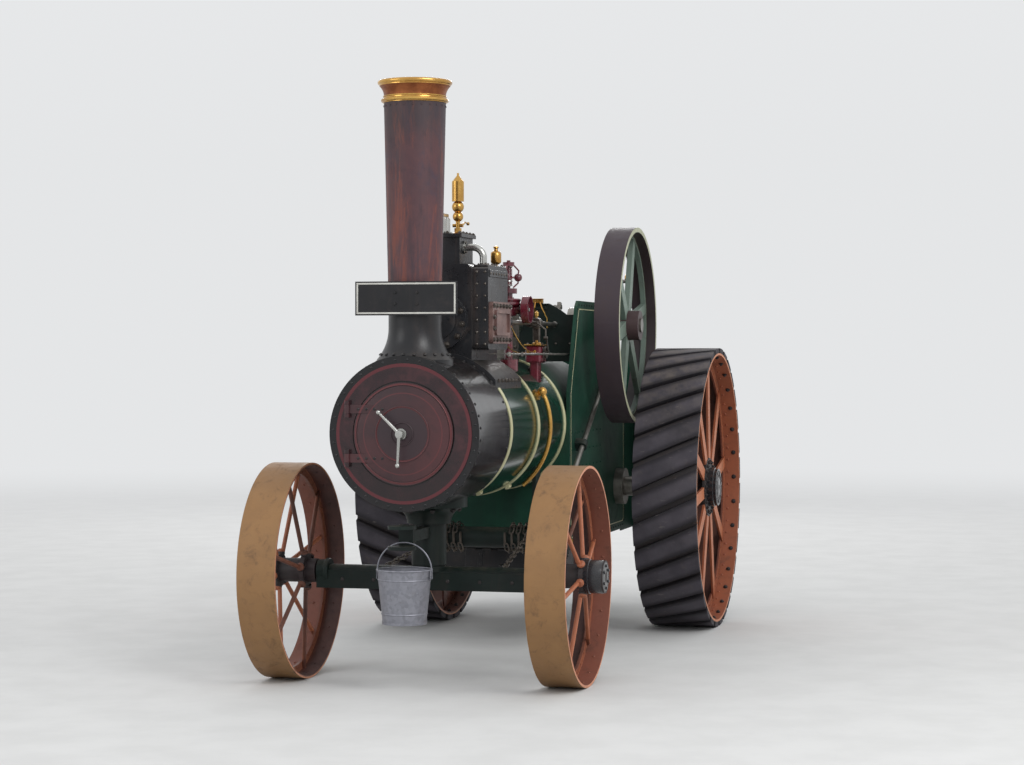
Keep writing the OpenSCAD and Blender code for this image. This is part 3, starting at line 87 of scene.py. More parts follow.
# sizes and places on the solids that several finishes and fittings share
smokebox_front = front_axle.x + 0.480
plate_front = door_back + 0.0065
ring_r = smokebox_r - 0.040
band_xs = (1.6825, 1.0325, 0.3575)
floor_z = 0.800
spectacle_x, spectacle_z = 0.0325, crank.z + 0.130
turret_x, turret_top = 1.5625, crank.z + 0.485
chest_x, chest_y = 1.5105, 0.235
steam_pipe_x, backhead_x = 1.6225, -0.6475
governor = Vector((0.8925, 0.185, crank.z))
valve_rod_y, clamp_x = 0.262, 0.69
chain_barrel = Vector((0.7125, 0, 0.70))
chain_y = 0.262
rear_rim_half, front_rim_half = 0.203, 0.108
strake_height, rear_rim_thick, front_rim_thick = 0.032, 0.014, 0.014
strakes, strake_slant = 32, math.radians(24)


# materials

def srgb(colour):
    """A colour given as it looks on a screen, 0 to 255, in the shader's linear values."""
    shares = [v / 255 for v in colour]
    return tuple(v / 12.92 if v <= 0.04045 else ((v + 0.055) / 1.055) ** 2.4 for v in shares) + (1,)


def tint(value):
    """Three numbers are a screen colour; a socket or a linear colour of four numbers stays as it is."""
    return srgb(value) if isinstance(value, tuple) and len(value) == 3 else value


class Nodes:
    """Short calls that add nodes to a tree and return their sockets."""

    def __init__(self, tree):
        self.tree = tree
        tree.nodes.clear()

    def put(self, socket, value):
        if isinstance(value, bpy.types.NodeSocket):
            self.tree.links.new(value, socket)
        else:
            socket.default_value = value

    def add(self, kind, inputs=None, **settings):
        node = self.tree.nodes.new("ShaderNode" + kind)
        for name, value in settings.items():
            setattr(node, name, value)
        for name, value in (inputs or {}).items():
            self.put(node.inputs[name], value)
        return node

    def math(self, operation, a, b=0.0, c=0.0):
        return self.add("Math", {0: a, 1: b, 2: c}, operation=operation).outputs[0]

    def times(self, a, b):
        return self.math("MULTIPLY", a, b)

    def mix(self, factor, a, b):
        return self.add("Mix", {0: factor, 6: tint(a), 7: tint(b)}, data_type="RGBA").outputs[2]

    def fade(self, value, low, high):
        """0 at low and 1 at high; low may be above high."""
        return self.add("MapRange", {"Value": value, "From Min": low, "From Max": high},
                        interpolation_type="SMOOTHSTEP").outputs[0]

    def split(self, vector):
        return self.add("SeparateXYZ", {0: vector}).outputs


class Finish(Nodes):
    """A procedural material, painted in layers."""

    def __init__(self, name, rough, metal=0.0, coat=0.0, specular=0.5):
        self.material = bpy.data.materials.new(name)
        self.material.use_nodes = True
        super().__init__(self.material.node_tree)
        self.out = self.add("OutputMaterial")
        self.shader = self.add("BsdfPrincipled", {
            "Roughness": rough, "Metallic": metal, "Coat Weight": coat, "Coat Roughness": 0.08,
            "Specular IOR Level": specular})
        self.put(self.out.inputs["Surface"], self.shader.outputs[0])
        self.coordinates = self.add("TexCoord").outputs["Object"]
        self.normal = self.add("NewGeometry").outputs["Normal"]

    def noise(self, scale, detail=4.0, rough=0.6, stretch=(1, 1, 1), distort=0.0):
        mapping = self.add("Mapping", {"Vector": self.coordinates, "Scale": stretch})
        return self.add("TexNoise", {"Vector": mapping.outputs[0], "Scale": scale, "Detail": detail,
                                     "Roughness": rough, "Distortion": distort}).outputs["Fac"]

    def cloud(self, low, high, scale, detail=4.0, rough=0.6, stretch=(1, 1, 1), distort=0.0):
        """Patches of noise: 0 where it is under low and 1 where it is over high."""
        return self.fade(self.noise(scale, detail, rough, stretch, distort), low, high)

    def radius(self, centre, across=(0, 2)):
        """Distance from the line through centre that stands square to the two axes named by number."""
        parts = self.split(self.coordinates)
        a, b = (self.math("SUBTRACT", parts[k], centre[k]) for k in across)
        return self.math("SQRT", self.math("ADD", self.times(a, a), self.times(b, b)))

    def colour(self, value):
        self.paint = value
        self.put(self.shader.inputs["Base Color"], value)

    def over(self, colour, mask, share=1.0):
        """Lays a colour over the paint where mask is 1."""
        self.colour(self.mix(self.times(mask, share), self.paint, colour))

    def roughness(self, value):
        self.put(self.shader.inputs["Roughness"], value)

    def bump(self, height, strength, distance, bevel=0.0):
        node = self.add("Bump", {"Strength": strength, "Distance": distance, "Height": height})
        if bevel:
            self.put(node.inputs["Normal"], self.add("Bevel", {"Radius": bevel}, samples=4).outputs[0])
        self.put(self.shader.inputs["Normal"], node.outputs[0])


# paints and metals: colour, darker shade, dirt, roughness, share of dirt, share of dust, grain, bump,
# and what differs from plain paint
PAINTS = {
    "black_iron": ((32, 32, 35), (20, 20, 23), (62, 52, 48), 0.34, 0.4, 0.15, 8, 0.2,
                   dict(streaks=0.3, specular=0.4)),
    "smokebox_black": ((15, 15, 18), (10, 9, 12), (54, 40, 42), 0.2, 0.3, 0.05, 7, 0.04,
                       dict(streaks=0.5, coat=0.45, specular=0.25)),
    "door_maroon": ((72, 36, 39), (46, 27, 32), (32, 24, 27), 0.42, 0.65, 0.08, 8, 0.12, {}),
    "chimney_rust": ((88, 52, 54), (64, 42, 49), (42, 35, 44), 0.55, 0.6, 0.05, 7, 0.3, dict(streaks=0.85)),
    "brass_cap": ((214, 170, 94), (178, 132, 70), (92, 66, 42), 0.22, 0.3, 0.0, 12, 0.05, dict(metal=0.95)),
    "sheet_green": ((24, 64, 49), (16, 48, 38), (28, 34, 30), 0.52, 0.5, 0.1, 5, 0.1,
                    dict(streaks=0.25, spread=0.1, specular=0.18)),
    "motion_steel": ((150, 147, 140), (104, 100, 95), (46, 40, 36), 0.34, 0.6, 0.0, 16, 0.15, dict(metal=0.85)),
    "bright_steel": ((196, 196, 192), (168, 168, 164), (120, 112, 104), 0.24, 0.3, 0.0, 20, 0.08,
                     dict(metal=0.9)),
    "brass": ((214, 172, 96), (176, 132, 70), (92, 70, 42), 0.24, 0.35, 0.0, 14, 0.06, dict(metal=0.95)),
    "boiler_green": ((17, 60, 45), (11, 45, 35), (22, 34, 30), 0.15, 0.4, 0.06, 5, 0.03,
                     dict(coat=0.5, spread=0.06, specular=0.4)),
    "cream_line": ((206, 203, 164), (182, 178, 138), (108, 100, 78), 0.32, 0.35, 0.05, 12, 0.05, {}),
    "cylinder_dark": ((40, 41, 44), (26, 26, 29), (78, 64, 56), 0.3, 0.45, 0.15, 10, 0.3, dict(streaks=0.4)),
    "cover_brown": ((142, 112, 104), (108, 82, 78), (50, 38, 36), 0.4, 0.7, 0.0, 22, 0.35, dict(metal=0.35)),
    "governor_maroon": ((112, 36, 50), (78, 26, 36), (36, 24, 26), 0.28, 0.5, 0.0, 18, 0.1, dict(coat=0.5)),
    "strake_rubber": ((64, 60, 68), (46, 43, 49), (96, 88, 84), 0.74, 0.6, 0.3, 7, 0.4,
                      dict(bevel=0.004, specular=0.35)),
    "frame_green": ((20, 34, 30), (13, 22, 20), (48, 42, 38), 0.44, 0.5, 0.12, 9, 0.2,
                    dict(streaks=0.3, specular=0.25)),
    "chain_steel": ((96, 88, 80), (66, 60, 55), (56, 42, 34), 0.45, 0.6, 0.1, 30, 0.2, dict(metal=0.6)),
    "plate_pale": ((206, 205, 198), (176, 174, 168), (96, 90, 84), 0.4, 0.4, 0.1, 14, 0.08, {}),
    "oily_steel": ((112, 106, 100), (70, 64, 60), (34, 28, 26), 0.32, 0.7, 0.0, 30, 0.15, dict(metal=0.8)),
    "dark_bolts": ((52, 46, 46), (34, 31, 32), (96, 66, 50), 0.45, 0.5, 0.1, 30, 0.15, dict(metal=0.3)),
    "hub_black": ((36, 36, 40), (26, 26, 30), (66, 54, 48), 0.28, 0.35, 0.1, 14, 0.1, dict(coat=0.3)),
}
DUST = (140, 128, 112)


def weathered(name):
    """Paint or metal with colour variation, dirt in patches, dust on top and a fine surface grain."""
    colour, shade, dirt, rough, dirt_share, dust_share, grain, bump, more = PAINTS[name]
    f = Finish(name, rough, more.get("metal", 0.0), more.get("coat", 0.0), more.get("specular", 0.5))
    f.colour(f.mix(f.cloud(0.32, 0.7, grain * 0.35, 5, 0.65), shade, colour))
    if "streaks" in more:
        f.over(dirt, f.cloud(0.5, 0.72, grain, 6, 0.7, (1, 1, 0.12)), more["streaks"])
    patches = f.times(f.cloud(0.52, 0.78, grain, 8, 0.72, distort=0.4), dirt_share)
    f.over(dirt, patches)
    upward = f.fade(f.split(f.normal)[2], 0.3, 0.95)
    settled = f.times(f.times(upward, f.cloud(0.3, 0.7, grain * 2, 5)), dust_share)
    f.over(DUST, settled)
    spread = more.get("spread", 0.15)
    varied = f.math("MULTIPLY_ADD", f.noise(grain * 1.7, 6, 0.7), spread * 2, rough - spread)
    f.roughness(f.math("ADD", varied, f.times(f.math("ADD", patches, settled), 0.35)))
    f.bump(f.noise(140, 4, 0.6), bump, 0.0008, more.get("bevel", 0.0015))
    return f


def smokebox_layers(f):
    """The front plate inside its ring is dark maroon, darker towards the bottom with painted shade, with a
    brighter line at its rim.
    """
    x, _, z = f.split(f.coordinates)
    from_axis = f.radius(boiler, (1, 2))
    front = f.times(f.fade(x, plate_front - 0.004, plate_front - 0.001),
                    f.fade(from_axis, ring_r + 0.002, ring_r))
    maroon = f.mix(f.cloud(0.35, 0.7, 6, 6, 0.7), (38, 22, 26), (72, 38, 42))
    # painted shade: the plate's maroon darkens below the boiler's middle
    maroon = f.mix(f.times(f.fade(z, boiler_z + 0.05, boiler_z - 0.3), 0.75), maroon, (26, 18, 20))
    rim = f.times(f.fade(from_axis, ring_r - 0.02, ring_r - 0.016), 0.8)
    f.over(f.mix(rim, maroon, (92, 34, 40)), front)


def door_layers(f):
    """Faint rings and painted shade in the dished middle outside, soot on the back."""
    r = f.radius(boiler, (1, 2))
    # painted shade: the middle of the door's dished face is darker
    f.over((44, 32, 38), f.fade(r, 0.150, 0.135), 0.75)
    for ring, width, share in ((0.262, 0.006, 0.7), (0.215, 0.004, 0.45), (0.142, 0.005, 0.6)):
        off = f.math("ABSOLUTE", f.math("SUBTRACT", r, ring))
        f.over((104, 44, 46), f.fade(off, width, width * 0.5), share)
    soot = f.mix(f.cloud(0.4, 0.7, 9, 7, 0.7), (22, 20, 20), (62, 44, 38))
    f.over(soot, f.fade(f.split(f.coordinates)[0], door_back + 0.004, door_back + 0.002))


def chimney_layers(f):
    """Burnt by the heat: bright rust, dark violet patches, runs down the height, soot towards the top."""
    f.over((120, 61, 46), f.cloud(0.47, 0.62, 9, 9, 0.78, (1, 1, 0.14), 0.7), 0.8)
    f.over((58, 46, 60), f.cloud(0.48, 0.6, 4.5, 7, 0.72, (1, 1, 0.4), 0.5), 0.7)
    f.over((50, 40, 50), f.cloud(0.52, 0.68, 26, 6, 0.7, (1, 1, 0.05)), 0.55)
    f.over((44, 38, 40), f.fade(f.split(f.coordinates)[2], chimney_high.z - 0.35, chimney_high.z), 0.6)


def cap_layers(f):
    """A browner copper cove between the polished lip and foot."""
    z, foot = f.split(f.coordinates)[2], chimney_high.z
    cove = f.times(f.fade(z, foot + 0.030, foot + 0.034), f.fade(z, foot + 0.094, foot + 0.088))
    f.over(f.mix(f.cloud(0.35, 0.65, 10, 7, 0.7), (124, 72, 46), (156, 96, 60)), cove)
    f.roughness(f.math("MULTIPLY_ADD", cove, 0.2, 0.22))


def barrel_layers(f):
    """The front end, inside the smokebox, is black with soot."""
    soot = f.fade(f.split(f.coordinates)[0], barrel_high.x - 0.0012, barrel_high.x - 0.0006)
    f.over(f.mix(f.cloud(0.4, 0.7, 12, 7, 0.7), (20, 19, 19), (56, 46, 40)), soot)
    f.roughness(f.math("MULTIPLY_ADD", soot, 0.65, 0.15))


def rubber_layers(f):
    """Worn strakes: greyer with dust on each crown, painted shade on the flanks and nearly black painted shade at
    the foot.
    """
    # painted shade in the gaps: nearly black towards the foot of each strake
    f.over((26, 24, 27), f.fade(f.radius(rear_axle), rear_r - 0.004, rear_r - 0.024), 0.85)
    x, y, z = f.split(f.coordinates)
    turn = f.math("ARCTAN2", f.math("SUBTRACT", z, rear_axle.z), f.math("SUBTRACT", x, rear_axle.x))
    along = f.math("SUBTRACT", f.math("ABSOLUTE", y), rear_track - rear_rim_half)
    per_radian = strakes / (2 * math.pi)
    phase = f.math("MULTIPLY_ADD", along, -math.tan(strake_slant) * per_radian / rear_r, 0.5)
    phase = f.math("FRACT", f.math("MULTIPLY_ADD", turn, per_radian, phase))
    from_crown = f.math("ABSOLUTE", f.math("SUBTRACT", phase, 0.5))
    # painted shade: the flanks of each strake are darker than its crown
    f.over((30, 27, 31), f.fade(from_crown, 0.16, 0.36), 0.75)
    f.over((104, 98, 104), f.times(f.fade(from_crown, 0.36, 0.12), f.cloud(0.3, 0.7, 3, 5)), 0.35)
    f.over((120, 112, 108), f.cloud(0.62, 0.74, 46, 4, 0.6, (1, 0.3, 1)), 0.35)


def galvanised_finish():
    """Zinc with its large crystals."""
    f = Finish("galvanised", 0.42, 0.55)
    crystal = f.split(f.add("TexVoronoi", {"Vector": f.coordinates, "Scale": 60}).outputs["Color"])[0]
    f.colour(f.mix(crystal, (124, 125, 133), (142, 143, 151)))
    f.over((112, 106, 100), f.cloud(0.55, 0.8, 14, 7, 0.7), 0.6)
    f.roughness(f.math("MULTIPLY_ADD", crystal, 0.12, 0.4))
    f.bump(f.noise(60, 3), 0.1, 0.001)
    return f.material


def wheel_finish(name, centre, rough, dirt_share, deep, bands):
    """Paint in rings about a wheel's axle: bands are (inner radius, face colour, side colour).

    Nearer to the engine's middle than deep, grime and painted shade darken the paint.
    """
    f = Finish(name, rough)
    r = f.radius(centre)
    sideways = f.fade(f.math("ABSOLUTE", f.split(f.normal)[1]), 0.6, 0.8)
    for inner, face, side in bands:
        ring = f.mix(sideways, face, side)
        if inner:
            f.over(ring, f.fade(r, inner - 0.0015, inner + 0.0015))
        else:
            f.colour(ring)
    f.over(f.mix(0.5, f.paint, (60, 40, 30)), f.cloud(0.3, 0.7, 4, 6, 0.65), 0.35)
    patches = f.times(f.cloud(0.5, 0.75, 13, 8, 0.75, distort=0.5), dirt_share)
    f.over((64, 48, 40), patches)
    if deep:
        # grime and painted shade inside the rim, nearer the engine's middle
        inside = f.fade(f.math("ABSOLUTE", f.split(f.coordinates)[1]), deep, deep - 0.05)
        inside = f.times(inside, f.fade(r, bands[-1][0], bands[-1][0] - 0.004))
        f.over((40, 27, 29), f.times(inside, f.math("MULTIPLY_ADD", f.cloud(0.3, 0.7, 5, 5), 0.22, 0.62)))
    f.roughness(f.math("ADD", f.math("MULTIPLY_ADD", f.noise(20, 5), 0.3, rough - 0.15), f.times(patches, 0.3)))
    f.bump(f.noise(120, 5, 0.65), 0.2, 0.0008, 0.002)
    return f.material


LAYERS = {"smokebox_black": smokebox_layers, "door_maroon": door_layers, "chimney_rust": chimney_layers,
          "brass_cap": cap_layers, "boiler_green": barrel_layers, "strake_rubber": rubber_layers}
materials = {
    "galvanised": galvanised_finish(),
    "flywheel_brown": wheel_finish("flywheel_brown", crank, 0.5, 0.4, 0, [
        (0.0, (66, 48, 50), (62, 46, 48)), (0.097, (96, 112, 102), (116, 134, 122)),
        (0.592, (46, 36, 40), (150, 156, 132)), (0.600, (46, 36, 40), (176, 178, 150)),
        (0.622, (50, 38, 46), (176, 178, 150))]),
    "wheel_orange": wheel_finish("wheel_orange", rear_axle, 0.5, 0.5, 1.03, [
        (0.0, (34, 32, 34), (44, 40, 41)), (0.193, (150, 82, 52), (186, 110, 70)),
        (0.770, (138, 72, 48), (176, 98, 62)), (0.866, (150, 84, 56), (210, 136, 94)),
        # the rim's outer face between the strakes is dark with painted shade
        (0.877, (40, 35, 38), (186, 120, 84))]),
    "front_wheel_tan": wheel_finish("front_wheel_tan", front_axle, 0.56, 0.6, 0.80, [
        (0.0, (44, 40, 42), (50, 46, 46)), (0.10, (160, 94, 64), (184, 112, 78)),
        (0.53, (118, 68, 50), (160, 92, 62)), (0.579, (122, 70, 54), (212, 146, 112)),
        (0.588, (142, 105, 64), (212, 146, 112))]),
}
for name in PAINTS:
    finish = weathered(name)
    if name in LAYERS:
        LAYERS[name](finish)
    materials[name] = finish.material

slots = {part["node"]: part["material_slot"] for part in frame["record"]["subparts"]}
own_finish = {"smokebox": "smokebox_black", "chimney_cap": "brass_cap"}
for name in ("firebox", "hornplates", "footplate", "coal_bunker", "tender_tank"):
    own_finish[name] = "sheet_green"
for name, node in frame["nodes"].items():
    node.data.materials.clear()
    node.data.materials.append(materials[own_finish.get(name, slots[name])])


# small forms

def at(x, y, z):
    return Vector((x, y, z))


def compass(axis, count, phase=0.0, side=None):
    """Directions at even steps round an axis."""
    side = side or axis.orthogonal().normalized()
    other = axis.cross(side)
    angles = [phase + 2 * math.pi * i / count for i in range(count)]
    return [side * math.cos(a) + other * math.sin(a) for a in angles]


def around(centre, axis, radius, count, phase=0.0):
    """Points on a circle with their outward directions."""
    return [(Vector(centre) + out * radius, out) for out in compass(axis, count, phase)]


def circle(centre, axis, radius, count, phase=0.0):
    return [place for place, _ in around(centre, axis, radius, count, phase)]


def spoke(angle):
    """Direction across the boiler, at an angle from its left side upwards."""
    return at(0, math.cos(angle), math.sin(angle))


def pairs(loop):
    """Each point of a closed loop with the next."""
    return list(zip(loop, loop[1:] + loop[:1]))


def helix(start, step, sides, radius, per_turn, count):
    angles = [2 * math.pi * i / per_turn for i in range(count)]
    return [start + step * i + (sides[0] * math.cos(a) + sides[1] * math.sin(a)) * radius
            for i, a in enumerate(angles)]


class Shape:
    """Collects many small closed forms into one joined mesh."""

    def __init__(self):
        self.points, self.faces = [], []

    def row(self, points):
        self.points += points
        return list(range(len(self.points) - len(points), len(self.points)))

    def skin(self, rows):
        """Faces between each row of points and the next; a row of one point is a pole."""
        for a, b in zip(rows, rows[1:]):
            count = max(len(a), len(b))
            for i in range(count):
                j = (i + 1) % count
                if len(a) == 1:
                    self.faces.append((a[0], b[j], b[i]))
                elif len(b) == 1:
                    self.faces.append((a[i], a[j], b[0]))
                else:
                    self.faces.append((a[i], a[j], b[j], b[i]))

    def turned(self, place, axis, profile, steps=16, ring=False, phase=0.0, capped=True):
        """Turns (distance along the axis, radius) pairs about the axis.

        A ring joins its last pair to its first; another form is closed with a cap at both ends.
        """
        if capped and not ring:
            caps = [[(along, 0)] if radius else [] for along, radius in (profile[0], profile[-1])]
            profile = caps[0] + profile + caps[1]
        rows = []
        for along, radius in profile:
            centre = Vector(place) + axis * along
            spread = [centre + out * radius for out in compass(axis, steps, phase)] if radius > 0 else [centre]
            rows.append(self.row(spread))
        self.skin(rows + rows[:1] if ring else rows)

    def pin(self, place, axis, low, high, radius, steps=12, hole=0.0):
        """A plain round pin, or a sleeve if it has a hole."""
        profile = [(low, radius), (high, radius)]
        if hole:
            profile = [(low, hole)] + profile + [(high, hole)]
        self.turned(place, axis, profile, steps, ring=bool(hole))

    def tube(self, path, radius, steps=10, closed=False):
        """A round bar along a path of points; its radius may be one number or one for each point."""
        path = [Vector(p) for p in path]
        count = len(path)
        radii = radius if isinstance(radius, list) else [radius] * count
        side, rows = None, []
        for i, point in enumerate(path):
            before = path[i - 1] if closed or i else point
            after = path[(i + 1) % count] if closed or i < count - 1 else point
            along = (after - before).normalized()
            side = (along.orthogonal() if side is None else side - along * side.dot(along)).normalized()
            rows.append(self.row([point + out * radii[i] for out in compass(along, steps, side=side)]))
        self.skin(rows + rows[:1] if closed else [self.row(path[:1])] + rows + [self.row(path[-1:])])

    def block(self, centre, size, axes=(X, Y, Z), bevel=0.002):
        """A box with chamfered edges along three given axes."""
        corners = list(product((-1, 1), repeat=3))
        points = []
        for corner, flush in product(corners, range(3)):
            reach = [corner[k] * (size[k] / 2 - (0 if k == flush else bevel)) for k in range(3)]
            points.append(Vector(centre) + sum((axes[k] * reach[k] for k in range(3)), Vector()))
        first = self.row(points)[0]

        def index(k, signs, flush):
            """The corner's point that is flush on one axis; signs start at axis k."""
            corner = tuple(signs[(axis - k) % 3] for axis in range(3))
            return first + corners.index(corner) * 3 + flush

        for k, s in product(range(3), (-1, 1)):
            side = (k + 1) % 3
            self.faces.append(tuple(index(k, (s, u, v), k) for u, v in ((-1, -1), (1, -1), (1, 1), (-1, 1))))
            for t in (-1, 1):
                self.faces.append((index(k, (s, t, -1), k), index(k, (s, t, 1), k),
                                   index(k, (s, t, 1), side), index(k, (s, t, -1), side)))
        for corner in corners:
            self.faces.append(tuple(index(0, corner, flush) for flush in range(3)))

    def outline(self, corners, across, overlap):
        """A thin painted line round a loop of corners, on a face that across stands square to."""
        for a, b in pairs(corners):
            along = (b - a).normalized()
            self.block((a + b) / 2, ((b - a).length + overlap, 0.0016, 0.006),
                       (along, across, along.cross(across)), 0.0003)

    def rivet(self, place, normal, radius):
        self.turned(place, normal, [(-0.002, radius), (0.25 * radius, 0.94 * radius),
                                    (0.55 * radius, 0.6 * radius), (0.66 * radius, 0)], 8)

    def rivets(self, places, normal, radius):
        for place in places:
            self.rivet(place, normal, radius)

    def nut(self, place, normal, size, stud=True, washer=True):
        """A hexagon nut, size from its middle to its corners, with its washer and the end of its stud."""
        high = 0.85 * size
        if washer:
            wide = 1.25 * size
            self.turned(place, normal, [(-0.001, wide), (0.12 * size, wide), (0.16 * size, 0)], 14)
        self.turned(place, normal, [(0, size), (0.8 * high, size), (high, 0.84 * size)], 6,
                    phase=random.random())
        if stud:
            self.turned(place, normal, [(high - 0.001, 0.5 * size), (high + 0.3 * size, 0.5 * size),
                                        (high + 0.42 * size, 0.36 * size)], 8)

    def nuts(self, places, normal, size, **parts):
        for place in places:
            self.nut(place, normal, size, **parts)

    def oil_cup(self, place, normal, size):
        shares = ((0.7, 0.4), (0.9, 1), (2.3, 1), (2.4, 1.1), (2.7, 1.1), (3.1, 0.5), (3.5, 0.28), (3.6, 0))
        self.turned(place, normal, [(-0.002, 0.45 * size)] + [(a * size, r * size) for a, r in shares], 14)

    def build(self, name, finish, body="engine", smooth_angle=35):
        """One object of the forms, riding on a body, or on none where body is empty."""
        mesh = bpy.data.meshes.new(name)
        mesh.from_pydata(self.points, [], self.faces)
        shell = bmesh.new()
        shell.from_mesh(mesh)
        bmesh.ops.recalc_face_normals(shell, faces=shell.faces)
        shell.to_mesh(mesh)
        shell.free()
        mesh.shade_smooth()
        mesh.set_sharp_from_angle(angle=math.radians(smooth_angle))
        mesh.materials.append(materials[finish])
        piece = bpy.data.objects.new(name, mesh)
        scene.collection.objects.link(piece)
        if body:
            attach(piece, body)
        return piece


trees = {}


def landed(node, places, direction):
    """Where rays from places meet a CAD node, with its normals there; rays that miss are left out."""
    if node not in trees:
        mesh = frame["nodes"][node].data
        trees[node] = BVHTree.FromPolygons([v.co for v in mesh.vertices], [p.vertices for p in mesh.polygons])
    found = [trees[node].ray_cast(Vector(place), direction)[:2] for place in places]
    return [(point, normal) for point, normal in found if point]


def hits(node, places, direction):
    return [point for point, _ in landed(node, places, direction)]


def touch(node, place, direction):
    return hits(node, [place], direction)[0]


# fittings

def smokebox_rivets():
    shape = Shape()
    for x in (smokebox_low.x + 0.024, smokebox_front - 0.03):
        for place, out in around(at(x, 0, boiler_z), X, smokebox_r, 40, 0.08):
            # none under the chimney's saddle or over the perch bracket
            covered_x = chimney.x if place.z > boiler_z else front_axle.x
            if math.hypot(place.x - covered_x, place.y) >= 0.225:
                shape.rivet(place, out, 0.0085)
    shape.rivets(circle(at(smokebox_front, 0, boiler_z), X, (smokebox_r + ring_r) / 2, 36, 0.04), X, 0.0075)
    for x, low in product(np.linspace(smokebox_low.x + 0.06, smokebox_front - 0.06, 11), (0.62, 0.72)):
        out = -spoke(low)
        shape.rivet(at(x, 0, boiler_z) + out * smokebox_r, out, 0.007)
    shape.build("smokebox_rivets", "black_iron")


def saddle_rivets():
    shape = Shape()
    above = circle(chimney + Z * (boiler_z + 0.75), Z, 0.184, 20, 0.1)
    for point, normal in landed("chimney_saddle", above, -Z):
        shape.rivet(point, (normal + Z).normalized(), 0.011)
    shape.build("saddle_rivets", "black_iron")


def chimney_rivets():
    """Rivets up the chimney's seam and round its two ends."""
    shape = Shape()
    low, high = chimney_low.z + 0.05, chimney_high.z - 0.03
    seam = [chimney + at(-0.5, side * 0.014, z) for z in np.linspace(low, high, 34) for side in SIDES]
    found = landed("chimney", seam, X)
    for z in (low - 0.018, high + 0.012):
        for place, out in around(chimney + Z * z, Z, 0.5, 22):
            found += landed("chimney", [place], -out)
    for point, normal in found:
        shape.rivet(point, normal, 0.006)
    shape.build("chimney_rivets", "chimney_rust")


def plate_border():
    """Raised border of the plate, whose face is blank."""
    low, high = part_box("number_plate")
    border, bolts = Shape(), Shape()
    half_y, half_z, wide = 0.268, 0.078, 0.009
    middle = at(high.x, 0, (low.z + high.z) / 2)
    for side in SIDES:
        border.block(middle + at(0.001, 0, side * half_z), (0.004, 2 * half_y + wide, wide), bevel=0.001)
        border.block(middle + at(0.001, side * half_y, 0), (0.004, wide, 2 * half_z - wide), bevel=0.001)
        bolts.nuts([middle + at(0, side * 0.06, up * 0.03) for up in SIDES], X, 0.008, washer=False, stud=False)
    border.build("plate_border", "plate_pale")
    bolts.build("plate_bolts", "black_iron")


def door_fittings():
    beads, rivets = Shape(), Shape()
    edge = [(0, 0.262), (0.004, 0.2625), (0.006, 0.259), (0.004, 0.2555), (0, 0.256), (-0.004, 0.259)]
    beads.turned(at(smokebox_front + 0.013, 0, boiler_z), X, edge, 96, ring=True)
    ahead = smokebox_front + 1
    for radius in (0.146, 0.060):
        face = touch("smokebox_door", (ahead, radius, boiler_z), -X).x
        ring = [(0.003, radius + 0.004), (0.005, radius), (0.003, radius - 0.004), (-0.003, radius)]
        beads.turned(at(face, 0, boiler_z), X, ring, 72, ring=True)
    beads.build("door_beads", "door_maroon", "smokebox_door")
    straps = [(ahead, y, boiler_z + side * 0.130) for side in SIDES for y in (-0.245, -0.2, -0.155, -0.11)]
    rivets.rivets(hits("smokebox_door", straps, -X), X, 0.008)
    rivets.build("door_hinge_rivets", "black_iron", "smokebox_door")


def cap_rings():
    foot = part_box("chimney_cap")[0].z
    shape = Shape()
    for z, radius, thick in ((foot + 0.013, 0.1725, 0.0095), (foot + 0.034, 0.167, 0.004)):
        slant = thick * 0.7
        bead = [(-thick, radius), (-slant, radius + slant), (0, radius + thick), (slant, radius + slant),
                (thick, radius), (0, radius - 0.006)]
        shape.turned(chimney + Z * z, Z, bead, 72, ring=True)
    shape.build("cap_rings", "brass")


def band_clips():
    """The bolted joints of the cladding bands, low on both sides of the barrel."""
    clips = Shape()
    for x, side in product(band_xs, SIDES):
        out = spoke(math.radians(270 - side * 32))
        along = at(0, -out.z, out.y)
        centre = at(x, 0, boiler_z) + out * (barrel_r + 0.012)
        clips.block(centre, (0.034, 0.026, 0.02), (X, along, out))
        for step in SIDES:
            clips.nut(centre + along * step * 0.013, along * step, 0.007, washer=False)
    clips.build("band_clips", "cream_line")


def boiler_plugs():
    """Washout plugs and rows of stays on the firebox's sides."""
    stays, plugs = Shape(), Shape()
    for side in SIDES:
        beside = [(x, side, z) for x in np.arange(horn_low.x + 0.80, horn_high.x - 0.06, 0.105)
                  for z in np.arange(0.68, 1.34, 0.105)]
        for point in hits("hornplates", beside, -Y * side):
            if abs(point.y) > 0.42 and (at(point.x, 0, point.z) - crank).length > 0.2:
                stays.rivet(point, Y * side, 0.0075)
        for point in hits("hornplates", [(x, side, 0.655) for x in (0.30, -0.50)], -Y * side):
            plugs.turned(point, Y * side, [(-0.002, 0.026), (0.006, 0.026), (0.008, 0.018)], 20)
            plugs.block(point + Y * side * 0.015, (0.018, 0.02, 0.018))
    stays.build("firebox_stays", "sheet_green")
    plugs.build("washout_plugs", "brass")


def inset(points, distance):
    """A loop of points in the engine's middle plane, moved inwards."""
    moved = []
    for before, here, after in zip(points[-1:] + points, points, points[1:] + points[:1]):
        a, b = (here - before).normalized(), (after - here).normalized()
        first, second = at(-a.z, 0, a.x), at(-b.z, 0, b.x)
        corner = (first + second).normalized()
        moved.append(here + corner * distance / max(corner.dot(first), 0.4))
    return moved


